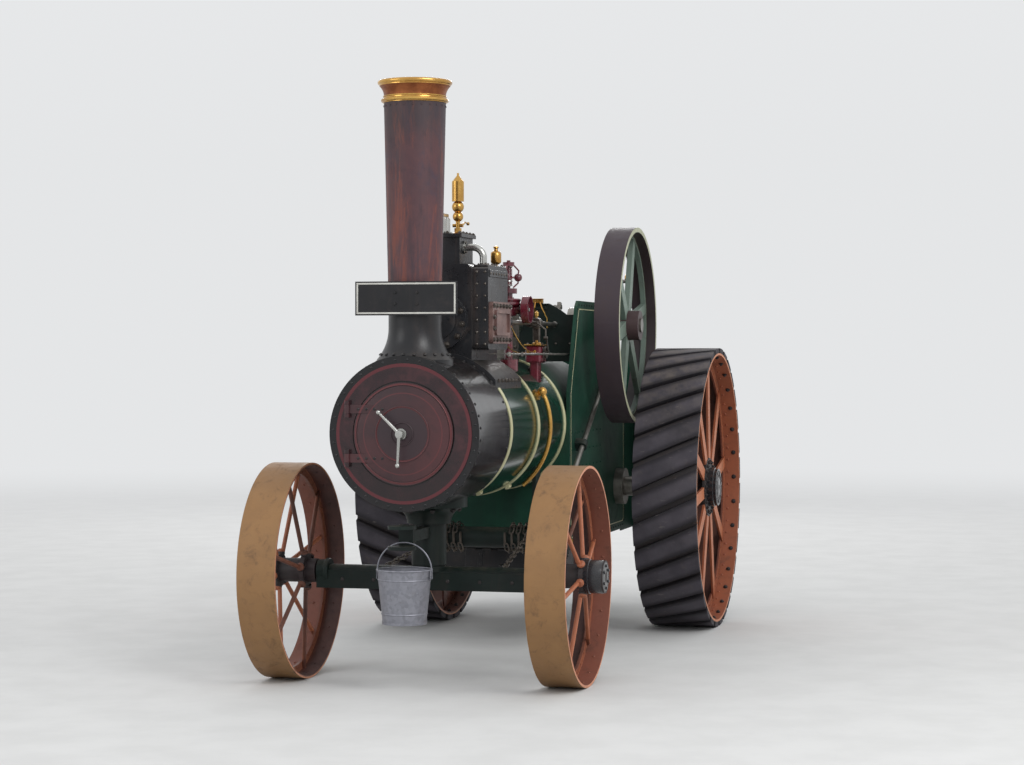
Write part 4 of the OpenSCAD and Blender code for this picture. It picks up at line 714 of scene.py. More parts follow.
def hornplate_edges():
    """Rivets along each hornplate's edge, with a pale line inside them."""
    outline = [(1.445, 1.56), (1.225, 2.085), (1.180, 2.120), (0.340, 2.120), (0.280, 2.070), (0.060, 1.640),
               (-0.200, 1.480), (-0.260, 1.400), (-0.260, 0.660), (-0.200, 0.620), (1.445, 0.620)]
    edge = [at(rear_axle.x + x, 0, z) for x, z in outline]
    rivets, line = Shape(), Shape()
    for side in SIDES:
        face = Y * side * horn_high.y
        for a, b in pairs(inset(edge, 0.026)):
            steps = max(1, round((b - a).length / 0.075))
            places = [a.lerp(b, k / steps) for k in range(steps)]
            rivets.rivets([p + face for p in places if (p - crank).length > 0.12], Y * side, 0.0075)
        line.outline([corner + face for corner in inset(edge, 0.052)], Y, 0.004)
    rivets.build("hornplate_rivets", "frame_green")
    line.build("hornplate_lines", "cream_line")


def cylinder_fittings():
    studs, brass, cover = Shape(), Shape(), Shape()
    node = "cylinder_block"
    # both covers' studs; the rear ones leave room for the slide bars
    front = at(touch(node, (3, 0, crank.z), -X).x, 0, crank.z)
    studs.nuts(circle(front, X, 0.143, 12, 0.13), X, 0.014)
    boss = [(-0.002, 0.105), (0.006, 0.102), (0.009, 0.09), (0.009, 0.03), (0.016, 0.022), (0.022, 0.022),
            (0.024, 0.016), (0.024, 0)]
    cover.turned(front, X, boss, 48, capped=False)
    rear = at(touch(node, (1.0, 0, crank.z + 0.13), X).x, 0, crank.z)
    studs.nuts([place for place in circle(rear, X, 0.143, 12, 0.13) if abs(place.y) > 0.045], -X, 0.013)
    # studs of the foot flange along the barrel
    for side in SIDES:
        out = spoke(math.radians(90 - side * 50.5))
        for x in np.linspace(block_low.x + 0.06, block_high.x - 0.075, 8):
            axis = at(x, 0, boiler_z)
            near = [point for point in hits(node, [axis + out], -out) if (point - axis).length < 0.45]
            studs.nuts(near, out, 0.012)
    # studs of the steam chest's lid
    middle = at(turret_x, 0, touch(node, (turret_x, -0.118, 3), -Z).z)
    half_x, half_y = 0.142, 0.112
    lid = [at(x, side * half_y, 0) for x in np.linspace(-half_x, half_x, 5) for side in SIDES]
    lid += [at(side * half_x, y, 0) for y in (-0.04, 0.04) for side in SIDES]
    studs.nuts([middle + place for place in lid], Z, 0.011)
    # studs of the valve chest's cover
    low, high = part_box("chest_cover")
    y = touch("chest_cover", (low.x + 0.02, 1, (low.z + high.z) / 2), -Y).y
    xs, zs = (low.x + 0.022, high.x - 0.022), (low.z + 0.022, high.z - 0.022)
    studs.nuts([at(x, y, z) for x in np.linspace(*xs, 6) for z in zs], Y, 0.012)
    studs.nuts([at(x, y, z) for z in np.linspace(*zs, 4)[1:-1] for x in xs], Y, 0.012)
    studs.build("cylinder_studs", "oily_steel")
    cover.build("cylinder_cover_boss", "cylinder_dark")
    # drain cocks at both ends, an oil pot on the valve chest and one on the steam chest
    for foot in hits(node, [(x, -0.6, crank.z - 0.10) for x in (block_low.x + 0.09, block_high.x - 0.07)], Y):
        body, elbow = foot - Y * 0.03, foot - Y * 0.045
        brass.tube([foot + Y * 0.004, body, elbow - Z * 0.02, elbow - Z * 0.06], 0.0075)
        brass.pin(body, Z, -0.016, 0.016, 0.012)
        brass.block(body + Z * 0.026, (0.012, 0.05, 0.006), bevel=0.001)
    pot = [(-0.002, 0.012), (0.02, 0.010), (0.03, 0.026), (0.036, 0.03), (0.085, 0.03), (0.092, 0.026),
           (0.1, 0.012), (0.112, 0.010), (0.116, 0.016), (0.124, 0.014), (0.128, 0)]
    for foot in hits(node, [(chest_x - 0.13, chest_y, 3), (turret_x - 0.12, -0.085, 3)], -Z):
        brass.turned(foot, Z, pot, 24)
    brass.build("cylinder_brass", "brass")


def motion_fittings():
    cups, nuts, turning = Shape(), Shape(), Shape()
    for point in hits("slide_bars", [(0.55, 0, 3), (1.02, 0, 3)], -Z):
        cups.oil_cup(point, Z, 0.013)
    above = [(x + 0.03, side * 0.02, 3) for x in np.linspace(0.47, 1.13, 4) for side in SIDES]
    nuts.rivets([point for point in hits("slide_bars", above, -Z) if point.z < crank.z + 0.1], Z, 0.006)
    # bolts of the motion bracket
    ahead = [(0.9, side * 0.108, z) for z in np.linspace(crank.z - 0.14, crank.z + 0.08, 4) for side in SIDES]
    nuts.nuts(hits("slide_bars", ahead, -X), X, 0.011)
    # crank bearings: cap nuts, oil cups and the rivets round their flanges
    for side in SIDES:
        caps = [(crank.x + x, side * (horn_high.y + 0.035), 3) for x in (-0.030, 0.030)]
        nuts.nuts(hits("crank_bearings", caps, -Z), Z, 0.013)
        cups.oil_cup(touch("crank_bearings", (crank.x, side * (horn_high.y + 0.028), 3), -Z), Z, 0.016)
        nuts.rivets(circle(crank + Y * side * (horn_high.y + 0.056), Y, 0.072, 8, 0.35), Y * side, 0.007)
    ahead = [(0.6, y, crank.z - 0.12) for y in np.linspace(-0.36, 0.36, 9)]
    nuts.rivets([point for point in hits("crank_bearings", ahead, -X) if point.x < 0.1], X, 0.008)
    cups.build("motion_oil_cups", "brass")
    nuts.build("motion_nuts", "oily_steel")
    # what turns with the crank: the big end's oil cup and the bolts of the eccentrics
    turning.oil_cup(touch("crankshaft", (crank.x + 0.125, 0, 3), -Z), Z, 0.012)
    for y, up in ((0.178, 1), (0.238, -1)):
        bolts = [crank + at(step, y, up * 0.032) for step in (-0.06, 0.06)]
        turning.nuts(bolts, Z * up, 0.009, washer=False)
    turning.build("crank_fittings", "brass", "crank")


def governor_linkage():
    """The governor's weight with its three pairs of links and its spring, and the studs of its foot."""
    shape, studs = Shape(), Shape()
    weight = [(-0.02, 0.024), (-0.02, 0.07), (-0.012, 0.074), (0, 0.068), (0.012, 0.074), (0.02, 0.07),
              (0.02, 0.024)]
    shape.turned(governor + Z * 0.12, Z, weight, 32, ring=True)
    upper = ((0.03, 0.338), (0.062, 0.305), (0.058, 0.268))
    lower = ((0.058, 0.268), (0.058, 0.232), (0.028, 0.205))
    for out in compass(Z, 3, side=X):
        for link in (upper, lower):
            shape.tube([governor + out * reach + Z * height for reach, height in link], 0.005, 8)
    per_turn, count = 12, 180
    shape.tube(helix(governor + Z * 0.215, Z * (0.105 / count), (X, Y), 0.02, per_turn, count), 0.003, 6)
    shape.build("governor_linkage", "governor_maroon")
    foot = circle(at(governor.x, governor.y, boiler_z + 0.5), Z, 0.042, 6, 0.3)
    studs.nuts(hits("governor", foot, -Z), Z, 0.008, washer=False)
    studs.build("governor_studs", "oily_steel")


def pipe_flanges():
    shape = Shape()
    for place, axis in ((at(steam_pipe_x, 0.1223, 2.385), Y), (at(steam_pipe_x, 0.225, crank.z + 0.3123), Z)):
        shape.nuts(circle(place, axis, 0.027, 4, 0.8), axis, 0.007, washer=False)
    shape.build("steam_pipe_nuts", "oily_steel")


def rear_wheel_fittings(name, side):
    rivets, bolts, hub = Shape(), Shape(), Shape()
    outer, body = Y * side, "rear_wheel_" + name
    middle = rear_axle + outer * (rear_track - rear_rim_half)
    inner_r = rear_r - strake_height - rear_rim_thick
    for row in SIDES:
        away = outer * row
        rivets.rivets(circle(middle + away * 0.102, Y, inner_r - 0.040, 60), away, 0.0085)
        for place, out in around(middle + away * 0.165, Y, inner_r, 32, 0.03):
            bolts.nut(place, -out, 0.0125)
        for place, out in around(middle + away * 0.125, Y, inner_r - 0.001, 64, 0.07):
            rivets.rivet(place, -out, 0.008)
        bolts.nuts(circle(middle + away * 0.139, Y, 0.168, 20, 0.1), away, 0.012, washer=False)
    hub.turned(rear_axle + outer * (rear_track - 0.006), outer, [
        (-0.06, 0.1201), (-0.06, 0.128), (-0.02, 0.128), (-0.016, 0.1215), (0.001, 0.1215), (0.003, 0.118),
        (0.003, 0.112), (0.0, 0.108), (-0.004, 0.108)], 48, ring=True)
    hub.turned(rear_axle + outer * (rear_track - 0.010), outer, [
        (-0.02, 0.0645), (0.004, 0.0645), (0.009, 0.056), (0.009, 0.02), (0.006, 0.016)], 40)
    ring = circle(rear_axle + outer * (rear_track - 0.012), Y, 0.093, 8, 0.2)
    hub.nuts(ring, outer, 0.0125, stud=False, washer=False)
    rivets.build("rear_rim_rivets_" + name, "wheel_orange", body)
    bolts.build("rear_rim_bolts_" + name, "dark_bolts", body)
    hub.build("rear_hub_cap_" + name, "hub_black", body)


def front_wheel_fittings(name, side):
    rivets, hub = Shape(), Shape()
    outer, body = Y * side, "front_wheel_" + name
    middle = front_axle + outer * (front_track - front_rim_half)
    inner_r = front_r - front_rim_thick
    for row in SIDES:
        away = outer * row
        rivets.rivets(circle(middle + away * 0.008, Y, inner_r - 0.028, 36), away, 0.007)
        for place, out in around(middle + away * 0.06, Y, inner_r - 0.0005, 24, 0.1):
            rivets.rivet(place, -out, 0.0075)
        # collars where the spokes enter the hub
        for out in compass(Y, 6, row * math.pi / 12, X):
            foot = middle + away * 0.078 + out * 0.088
            rivets.turned(foot, out, [(0, 0.024), (0.02, 0.022), (0.028, 0.0125)], 14)
    cap = front_axle + outer * (front_track + front_hub_reach + 0.0015)
    hub.turned(cap, outer, [
        (-0.104, 0.0885), (-0.104, 0.094), (-0.085, 0.094), (-0.082, 0.0895), (-0.012, 0.0895), (-0.003, 0.084),
        (0.0, 0.074), (0.0, 0.03), (-0.004, 0.026), (-0.004, 0)], 56, capped=False)
    hub.nuts(circle(cap, Y, 0.06, 6, 0.3), outer, 0.009, stud=False, washer=False)
    rivets.build("front_rim_rivets_" + name, "front_wheel_tan", body)
    hub.build("front_hub_cap_" + name, "hub_black", body)


def chain_link(shape, centre, along, up, pitch, width, wire):
    """One link of bent wire: two half circles joined by straight sides."""
    radius = (width - wire) / 2
    straight = (pitch + 2 * wire - width) / 2
    across = along.cross(up)
    path = []
    for end in SIDES:
        for k in range(6):
            a = math.pi * (k / 5 - 0.5)
            bend = along * (straight + radius * math.cos(a)) + across * radius * math.sin(a)
            path.append(centre + bend * end)
    shape.tube(path, wire / 2, 6, closed=True)


def steering_chains():
    for name, side in HANDS:
        start = at(0.7945, side * chain_y, chain_barrel.z)
        end = at(1.8235, side * 0.360, 0.573)
        run = end - start
        count = int(run.length / 0.062)
        along = run.normalized()
        up = (Z - along * Z.dot(along)).normalized()
        shape = Shape()
        for i in range(count):
            face = up if i % 2 else along.cross(up)
            chain_link(shape, start + run * (i + 0.5) / count, along, face, run.length / count, 0.036, 0.0095)
        piece = shape.build("steering_links_" + name, "chain_steel", None, 60)
        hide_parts("steering_chain_" + name)
        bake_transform(piece)


def chain_turns():
    """The chain wound on its barrel, three turns at each end."""
    shape = Shape()
    radius = 0.076
    per_turn, turns = 8, 3
    pitch = 2 * math.pi * radius / per_turn
    for side in SIDES:
        for i in range(per_turn * turns + 1):
            turn = 2 * math.pi * i / per_turn
            out = at(math.cos(turn), 0, math.sin(turn))
            place = chain_barrel + out * radius + Y * side * (chain_y - 0.042 * i / per_turn)
            chain_link(shape, place, at(-out.z, 0, out.x), out if i % 2 else Y, pitch, 0.032, 0.009)
    shape.build("barrel_chain", "chain_steel", smooth_angle=60)


def worm_thread():
    """Worm and collars on the steering shaft, and the knob on the hand wheel's rim."""
    slope = math.radians(32)
    up = at(math.sin(slope), 0, math.cos(slope))
    along = at(math.cos(slope), 0, -math.sin(slope))
    centre = chain_barrel + up * 0.156 + Y * (horn_high.y + 0.044)
    shape, knob = Shape(), Shape()
    per_turn, count, length = 16, 96, 0.156
    thread = helix(centre - along * length / 2, along * (length / count), (Y, up), 0.030, per_turn, count + 1)
    shape.tube(thread, 0.006, 6)
    collar = [(0, 0.014), (0, 0.026), (0.003, 0.029), (0.021, 0.029), (0.024, 0.026), (0.024, 0.014)]
    for end in (-0.117, 0.093):
        shape.turned(centre + along * end, along, collar, 24, ring=True)
    shape.build("worm_thread", "chain_steel")
    grip = [(0, 0.008), (0.02, 0.008), (0.024, 0.014), (0.05, 0.02), (0.085, 0.016), (0.095, 0.008), (0.097, 0)]
    knob.turned(centre - along * 2.46 + up * 0.167, -along, grip, 20)
    knob.build("steering_knob", "brass")


def perch_fittings():
    bolts, collars, studs = Shape(), Shape(), Shape()
    below = circle(at(front_axle.x, 0, 0.7), Z, 0.165, 8, 0.3927)
    bolts.nuts(hits("perch_bracket", below, Z), -Z, 0.014)
    collar = [(0, 0.040), (0, 0.066), (0.006, 0.070), (0.02, 0.070), (0.026, 0.066), (0.026, 0.040)]
    for side in SIDES:
        ahead = [(front_axle.x + 0.4, side * y, front_r - 0.04) for y in (0.12, 0.30, 0.48, 0.66)]
        found = hits("front_axle", ahead, -X)
        studs.rivets([point for point in found if point.x < front_axle.x + 0.08], X, 0.011)
        collars.turned(front_axle + Y * side * 0.565, Y * side, collar, 36, ring=True)
    coupling = at(2.3775, 0, 0.825)
    for up in (-1, 1):
        bolts.rivets([coupling + at(0, side * 0.028, up * 0.063) for side in SIDES], Z * up, 0.009)
    bolts.build("perch_bolts", "dark_bolts")
    collars.build("axle_collars", "frame_green", "front_axle")
    studs.build("axle_studs", "dark_bolts", "front_axle")


def bucket_ribs():
    """Two beads and a foot ring on the bucket, and the ears that its bail hangs in."""
    low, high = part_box("bucket")
    foot = at((low.x + high.x) / 2, 0, low.z)
    shape = Shape()
    for z in (0.055, 0.235):
        r = 0.115 + 0.030 * z / 0.29
        bead = [(-0.005, r - 0.001), (0, r + 0.003), (0.005, r + 0.0002), (0, r - 0.0015)]
        shape.turned(foot + Z * z, Z, bead, 56, ring=True)
    shape.turned(foot, Z, [(0, 0.1155), (0, 0.1185), (0.016, 0.1195), (0.016, 0.1155)], 56, ring=True)
    for side in SIDES:
        ear = foot + at(0, side * 0.1465, 0.262)
        face = ear + Y * side * 0.002
        shape.block(ear, (0.05, 0.004, 0.05), bevel=0.0015)
        shape.rivets([face + at(x, 0, -0.015) for x in (-0.015, 0.015)], Y * side, 0.0045)
        shape.pin(face + Z * 0.018, Y * side, 0, 0.004, 0.009, 16, hole=0.003)
    shape.build("bucket_ribs", "galvanised")


def tender_fittings():
    """Rivets, seam strips, lamp irons, steps and painted lines on the tender."""
    rivets, trim, lining = Shape(), Shape(), Shape()
    low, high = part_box("tender_tank")
    back, seam = low.x, high.z + 0.002
    rows = (low.z + 0.035, high.z - 0.04, high.z + 0.045, 1.70)
    for side in SIDES:
        y = side * high.y
        sheet = [at(x, y, z) for z in rows for x in np.arange(back + 0.13, high.x - 0.02, 0.06)]
        sheet += [at(high.x - 0.025, y, z) for z in np.arange(low.z + 0.09, 1.68, 0.06)]
        rivets.rivets(sheet, Y * side, 0.007)
        trim.block(((back + high.x) / 2 + 0.045, y, seam), (0.54, 0.008, 0.034))
    for z, y in product(rows, np.arange(-0.48, 0.481, 0.06)):
        if z < 1.6 or abs(y) < 0.43:
            rivets.rivet(at(back, y, z), -X, 0.007)
    trim.block((back, 0, seam), (0.008, 0.96, 0.034))
    for side in SIDES:
        iron = at(back - 0.005, side * 0.47, 1.70)
        trim.block(iron, (0.012, 0.05, 0.09), bevel=0.003)
        trim.block(iron + at(-0.018, 0, 0.02), (0.03, 0.05, 0.008))
        trim.block(iron + at(-0.030, 0, 0.045), (0.006, 0.05, 0.055))
        step = at(back, side * 0.30, 0.72)
        trim.block(step + at(-0.045, 0, 0.04), (0.10, 0.16, 0.010), bevel=0.003)
        trim.block(step + at(-0.004, 0, 0.015), (0.010, 0.16, 0.06), bevel=0.003)
        rivets.rivets([step + at(-0.008, y, 0) for y in (-0.05, 0.05)], -X, 0.007)
    rivets.build("tender_rivets", "sheet_green")
    trim.build("tender_trim", "sheet_green")
    for z0, z1 in ((0.91, 1.13), (1.27, 1.65)):
        loop = ((-0.44, z0 + 0.03), (-0.41, z0), (0.41, z0), (0.44, z0 + 0.03),
                (0.44, z1 - 0.03), (0.41, z1), (-0.41, z1), (-0.44, z1 - 0.03))
        lining.outline([at(back - 0.0004, y, z) for y, z in loop], X, 0.003)
    x0, x1 = back + 0.16, high.x - 0.09
    for side, (z0, z1) in product(SIDES, ((0.70, 1.10), (1.31, 1.63))):
        loop = ((x0, z0), (x1, z0), (x1, z1), (x0, z1))
        lining.outline([at(x, side * (high.y + 0.0004), z) for x, z in loop], Y, 0.006)
    lining.build("tender_lines", "cream_line")


def gauge_dial():
    """Pressure gauge: brass bezel, pale dial with plain ticks and a needle."""
    centre = at(backhead_x - 0.076, 0.060, boiler_z + 0.250)
    dial, ticks, bezel = Shape(), Shape(), Shape()
    dial.pin(centre, -X, -0.001, 0.0012, 0.066, 48)
    rim = [(-0.006, 0.0745), (0.004, 0.0765), (0.007, 0.073), (0.006, 0.066), (0, 0.065)]
    bezel.turned(centre, -X, rim, 48, ring=True)

    def mark(degrees, lift, reach, length, width):
        out = spoke(math.radians(degrees))
        ticks.block(centre - X * lift + out * reach, (0.0008, length, width), (X, out, X.cross(out)), 0.0002)

    for i in range(11):
        mark(225 - 27 * i, 0.0014, 0.054, 0.012, 0.002)
    mark(120, 0.0024, 0.018, 0.06, 0.0026)
    ticks.turned(centre - X * 0.001, -X, [(0, 0.005), (0.003, 0.004)], 16)
    dial.build("gauge_dial", "plate_pale")
    ticks.build("gauge_ticks", "black_iron")
    bezel.build("gauge_bezel", "brass")


def footplate_fittings():
    """Ribs on the floor plates, and a hand rail inside each side sheet."""
    floor, grips = Shape(), Shape()
    low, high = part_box("footplate")
    for x0, x1 in ((low.x + 0.04, rear_axle.x - 0.12), (rear_axle.x + 0.14, high.x - 0.05)):
        for k, x in enumerate(np.arange(x0, x1, 0.036)):
            along = at(1, 1 if k % 2 else -1, 0).normalized()
            axes = (along, Z.cross(along), Z)
            for y in np.arange(-0.35 + 0.036 * (k % 2), 0.36, 0.072):
                floor.block((x, y, floor_z + 0.0008), (0.026, 0.006, 0.0036), axes, 0.0012)
    floor.build("floor_tread", "frame_green")
    for side in SIDES:
        inward, up = -Y * side, Z * 0.16
        foot = at(low.x + 0.05, side * (high.y - 0.0075), 1.30)
        grips.tube([foot, foot + inward * 0.04, foot + inward * 0.04 + up, foot + up], 0.009)
        for end in (foot, foot + up):
            grips.turned(end + inward * 0.001, inward, [(0, 0.022), (0.005, 0.022), (0.007, 0.010)], 16)
    grips.build("grab_rails", "bright_steel")


def chest_fittings():
    """Lid of the valve chest with its nuts, a riveted strip below it and the rivets of the chest's front."""
    lid, nuts = Shape(), Shape()
    node = "cylinder_block"
    top = touch(node, (chest_x, chest_y, 3), -Z).z
    lid.block((chest_x, 0.232, top + 0.004), (0.40, 0.082, 0.012), bevel=0.003)
    for x in np.linspace(-0.18, 0.18, 6):
        if abs(chest_x + x - steam_pipe_x) > 0.05 and abs(x + 0.13) > 0.04:
            nuts.nut(at(chest_x + x, 0.256, top + 0.010), Z, 0.010)
    strip = at(chest_x, touch(node, (chest_x, 1, crank.z + 0.24), -Y).y, crank.z + 0.262)
    lid.block(strip + Y * 0.002, (0.40, 0.008, 0.040))
    nuts.rivets([strip + at(x, 0.006, 0) for x in np.linspace(-0.18, 0.18, 7)], Y, 0.009)
    front = touch(node, (3, chest_y, crank.z + 0.1), -X).x
    for z in np.linspace(crank.z - 0.13, crank.z + 0.27, 7):
        nuts.rivets([at(front, y, z) for y in (0.215, 0.262)], X, 0.008)
    lid.build("chest_lid", "cylinder_dark")
    nuts.build("chest_nuts", "oily_steel")


def smokebox_inside():
    """Ends of the fire tubes in the tube plate, and the blast pipe under the chimney."""
    tubes, pipe = Shape(), Shape()
    pitch = 0.066
    flare = [(-0.002, 0.019), (0.003, 0.025), (0.008, 0.0245), (0.009, 0.021), (0.002, 0.019)]
    for row, k in product(range(-4, 5), range(-5, 6)):
        out = at(0, (k + 0.5 * (row % 2)) * pitch, row * pitch * 0.866)
        if out.length < 0.30:
            centre = at(barrel_high.x, 0, boiler_z) + out
            tubes.turned(centre, X, flare, 14, ring=True)
            tubes.pin(centre, X, 0, 0.0015, 0.0195, 14)
    foot = touch("smokebox", (front_axle.x + 0.18, 0, boiler_z), -Z)
    nozzle = [(-0.001, 0.085), (0.016, 0.085), (0.018, 0.060), (0.30, 0.045), (0.34, 0.052), (0.36, 0.052),
              (0.36, 0.036), (0.30, 0.03)]
    pipe.turned(foot, Z, nozzle, 32)
    tubes.build("tube_ends", "black_iron")
    pipe.build("blast_pipe", "black_iron")


def barrel_top(y):
    """Height of the barrel's top at a distance y from its middle."""
    return boiler_z + math.sqrt(barrel_r ** 2 - y ** 2)


def control_rods():
    """Regulator rod with its lever above the motion; drain cocks with their rod under the valve chest."""
    rods, brass = Shape(), Shape()
    y = -0.03
    front = touch("cylinder_block", (0.8, y, 2.37), X)
    rear = at(spectacle_x, y, spectacle_z + 0.03)
    gland = [(-0.002, 0.034), (0.012, 0.034), (0.014, 0.020), (0.040, 0.020), (0.044, 0.026), (0.060, 0.026),
             (0.064, 0)]
    rods.turned(front, -X, gland, 24)
    rods.tube([front, front - X * 0.10, rear + X * 0.05, rear], 0.009, 12)
    rods.block(rear, (0.05, 0.034, 0.03), bevel=0.004)
    rods.block(rear - Z * 0.018, (0.03, 0.016, 0.06))
    rods.pin(rear - Y * 0.03, Y, 0, 0.06, 0.011)
    rods.tube([rear, rear + at(-0.01, 0, 0.10), rear + at(-0.03, 0, 0.20)], [0.009, 0.007, 0.006])
    knob = [(0, 0.008), (0.012, 0.017), (0.03, 0.017), (0.04, 0.008), (0.042, 0)]
    brass.turned(rear + at(-0.03, 0, 0.19), Z, knob, 16)
    low = at(0, 0.378, crank.z - 0.185)
    rods.tube([low + X * x for x in (1.68, 1.0, spectacle_x)], 0.0065)
    for x in (1.36, 1.65):
        head, foot = touch("cylinder_block", (x, valve_rod_y, 1.3), Z), low + X * x
        brass.tube([head + Z * 0.003, head - Z * 0.05, head + at(0, 0.02, -0.075)], 0.008)
        brass.pin(head - Z * 0.028, Z, -0.016, 0.016, 0.013, 6)
        brass.pin(head + at(0, -0.018, -0.028), Y, 0, 0.04, 0.008)
        arm = low.y - valve_rod_y
        rods.block(foot + at(0, 0.004 - arm / 2, 0.002), (0.014, arm, 0.006), bevel=0.001)
        rods.pin(foot, Z, -0.012, 0.012, 0.011)
    rods.build("control_rods", "motion_steel")
    brass.build("control_brass", "brass")


def valve_rod_guide():
    """Guide for the valve rod, standing on the barrel, with the clamp that works the lubricator."""
    shape, cup = Shape(), Shape()
    x, y, z = 0.505, valve_rod_y, crank.z
    low, top = barrel_top(y + 0.03) - 0.004, barrel_top(y)
    across, out = at(0, 0.76, -0.65), at(0, 0.65, 0.76)
    shape.block((x, y, (low + z) / 2 - 0.01), (0.034, 0.044, z - low - 0.02), bevel=0.006)
    shape.block((x, y - 0.004, top + 0.012), (0.11, 0.085, 0.018), (X, across, out), 0.004)
    eye = [(-0.035, 0.0132), (-0.035, 0.030), (-0.031, 0.034), (0.031, 0.034), (0.035, 0.030), (0.035, 0.0132)]
    shape.turned((x, y, z), X, eye, 28, ring=True)
    shape.nuts([(x + side * 0.038, y - 0.006, top + 0.02) for side in SIDES], out.normalized(), 0.011)
    shape.pin((clamp_x, y, z), X, -0.014, 0.014, 0.024, 24, hole=0.0132)
    shape.block((clamp_x, y + 0.036, z), (0.02, 0.034, 0.016))
    cup.oil_cup((x, y, z + 0.033), Z, 0.012)
    shape.build("valve_rod_guide", "oily_steel")
    cup.build("valve_rod_cup", "brass")


def lubricator():
    """Ratchet lubricator on the barrel, with its link from the valve rod and two thin pipes to the cylinder."""
    body, steel, brass = Shape(), Shape(), Shape()
    box = at(0.63, 0.285, crank.z - 0.185)
    foot = barrel_top(box.y + 0.04) - 0.004
    body.block((box.x, box.y, (foot + box.z) / 2), (0.09, 0.05, box.z - foot), bevel=0.006)
    body.block(box, (0.155, 0.095, 0.10), bevel=0.010)
    body.build("lubricator_body", "governor_maroon")
    brass.block(box + Z * 0.054, (0.165, 0.105, 0.010), bevel=0.003)
    filler = [(0, 0.026), (0.010, 0.026), (0.013, 0.022), (0.014, 0.008), (0.024, 0.008), (0.026, 0)]
    brass.turned(box + at(-0.03, 0, 0.058), Z, filler, 24)
    axle = box + at(0, 0.048, 0.01)
    ratchet = [(0, 0.012), (0.010, 0.012), (0.010, 0.030), (0.010, 0.036), (0.022, 0.036), (0.022, 0.030),
               (0.022, 0.012), (0.034, 0.012)]
    steel.turned(axle, Y, ratchet, 20)
    link = at(clamp_x, axle.y + 0.028, crank.z)
    joint = link - Z * 0.09
    steel.tube([axle + Y * 0.028, axle + at(0.03, 0.028, 0.07), joint], 0.006, 8)
    steel.tube([joint, link - Z * 0.04, link - Y * 0.05], 0.005, 8)
    steel.pin(joint, Y, -0.012, 0.012, 0.010)
    steel.build("lubricator_ratchet", "oily_steel")
    for k, end in enumerate((at(1.3125, 0.245, crank.z - 0.09), at(1.3125, 0.262, crank.z + 0.06))):
        start = box + at(0.078, -0.025 + 0.04 * k, 0.015)
        brass.turned(start - X * 0.002, X, [(0, 0.010), (0.016, 0.010), (0.018, 0.007), (0.030, 0.007)], 6)
        run, path = end - start, []
        for t in np.linspace(0, 1, 15):
            ease, sag = t * t * (3 - 2 * t), math.sin(math.pi * t)
            path.append(start + at(run.x * t, run.y * ease - 0.02 * sag, run.z * ease - 0.03 * sag))
        brass.tube(path, 0.0045, 8)
        brass.pin(end, X, -0.022, 0, 0.009, 6)
    brass.build("lubricator_brass", "brass")


def spectacle_fittings():
    """Angle along the top of the motion plate, and an oil box with pipes to the big end and the bearings."""
    angle, box = Shape(), Shape()
    front = spectacle_x + 0.0005
    angle.block((front + 0.012, 0, spectacle_z - 0.004), (0.028, 0.44, 0.006), bevel=0.001)
    angle.block((front + 0.003, 0, spectacle_z - 0.020), (0.006, 0.44, 0.034), bevel=0.001)
    angle.rivets([at(front + 0.005, y, spectacle_z - 0.022) for y in np.linspace(-0.20, 0.20, 7)], X, 0.008)
    for z in np.linspace(crank.z - 0.2, crank.z + 0.04, 5):
        angle.rivets([at(spectacle_x, side * 0.385, z) for side in SIDES], X, 0.008)
    angle.build("motion_plate_angle", "frame_green")
    low = at(spectacle_x - 0.006, 0.15, spectacle_z)
    box.block(low + Z * 0.013, (0.030, 0.076, 0.026), bevel=0.004)
    box.block(low + Z * 0.028, (0.036, 0.082, 0.005))
    for k in range(3):
        foot = low + at(0.018, -0.03 + 0.03 * k, 0.006)
        end = foot + at(0.03, 0.045 * (k - 1), -0.06 - 0.02 * k)
        box.tube([foot, foot + X * 0.03, foot + X * 0.04 + (end - foot) * 0.4, end, end - Z * 0.06], 0.0045, 8)
    box.build("oil_box", "brass")


def governor_drive():
    """Bevel housing on the governor's column with its spindle and belt pulley, and the arm to the throttle."""
    shape, steel = Shape(), Shape()
    centre, sleeve = governor + Z * 0.075, governor + Z * 0.215
    housing = [(0, 0.022), (0, 0.046), (0.01, 0.050), (0.05, 0.050), (0.07, 0.036), (0.07, 0.022)]
    shape.turned(centre - Z * 0.035, Z, housing, 28, ring=True)
    shape.turned(centre, Y, [(0.03, 0.030), (0.066, 0.026), (0.070, 0.020)], 24)
    pulley = [(0, 0.010), (0, 0.022), (0.012, 0.022), (0.014, 0.070), (0.006, 0.072), (0.006, 0.080),
              (0.048, 0.080), (0.048, 0.072), (0.020, 0.070), (0.022, 0.022), (0.034, 0.022), (0.034, 0.010)]
    shape.turned(centre + Y * 0.085, Y, pulley, 40, ring=True)
    steel.turned(centre + Y * 0.06, Y, [(0, 0.0105), (0.066, 0.0105), (0.068, 0.008)], 16)
    grooved = [(0, 0.0112), (0, 0.022), (0.006, 0.024), (0.012, 0.018), (0.020, 0.018), (0.026, 0.024),
               (0.032, 0.022), (0.032, 0.0112)]
    steel.turned(sleeve, Z, grooved, 24, ring=True)
    end = touch("cylinder_block", (0.8, 0.06, crank.z + 0.36), X)
    arm = [sleeve + at(0.02, -0.01, 0.016), sleeve + at(0.16, -0.035, 0.03), end]
    steel.tube(arm, [0.007, 0.006, 0.006], 8)
    steel.turned(end, -X, [(-0.002, 0.024), (0.01, 0.024), (0.012, 0.014), (0.034, 0.014)], 20)
    shape.build("governor_drive", "governor_maroon")
    steel.build("governor_spindle", "bright_steel")


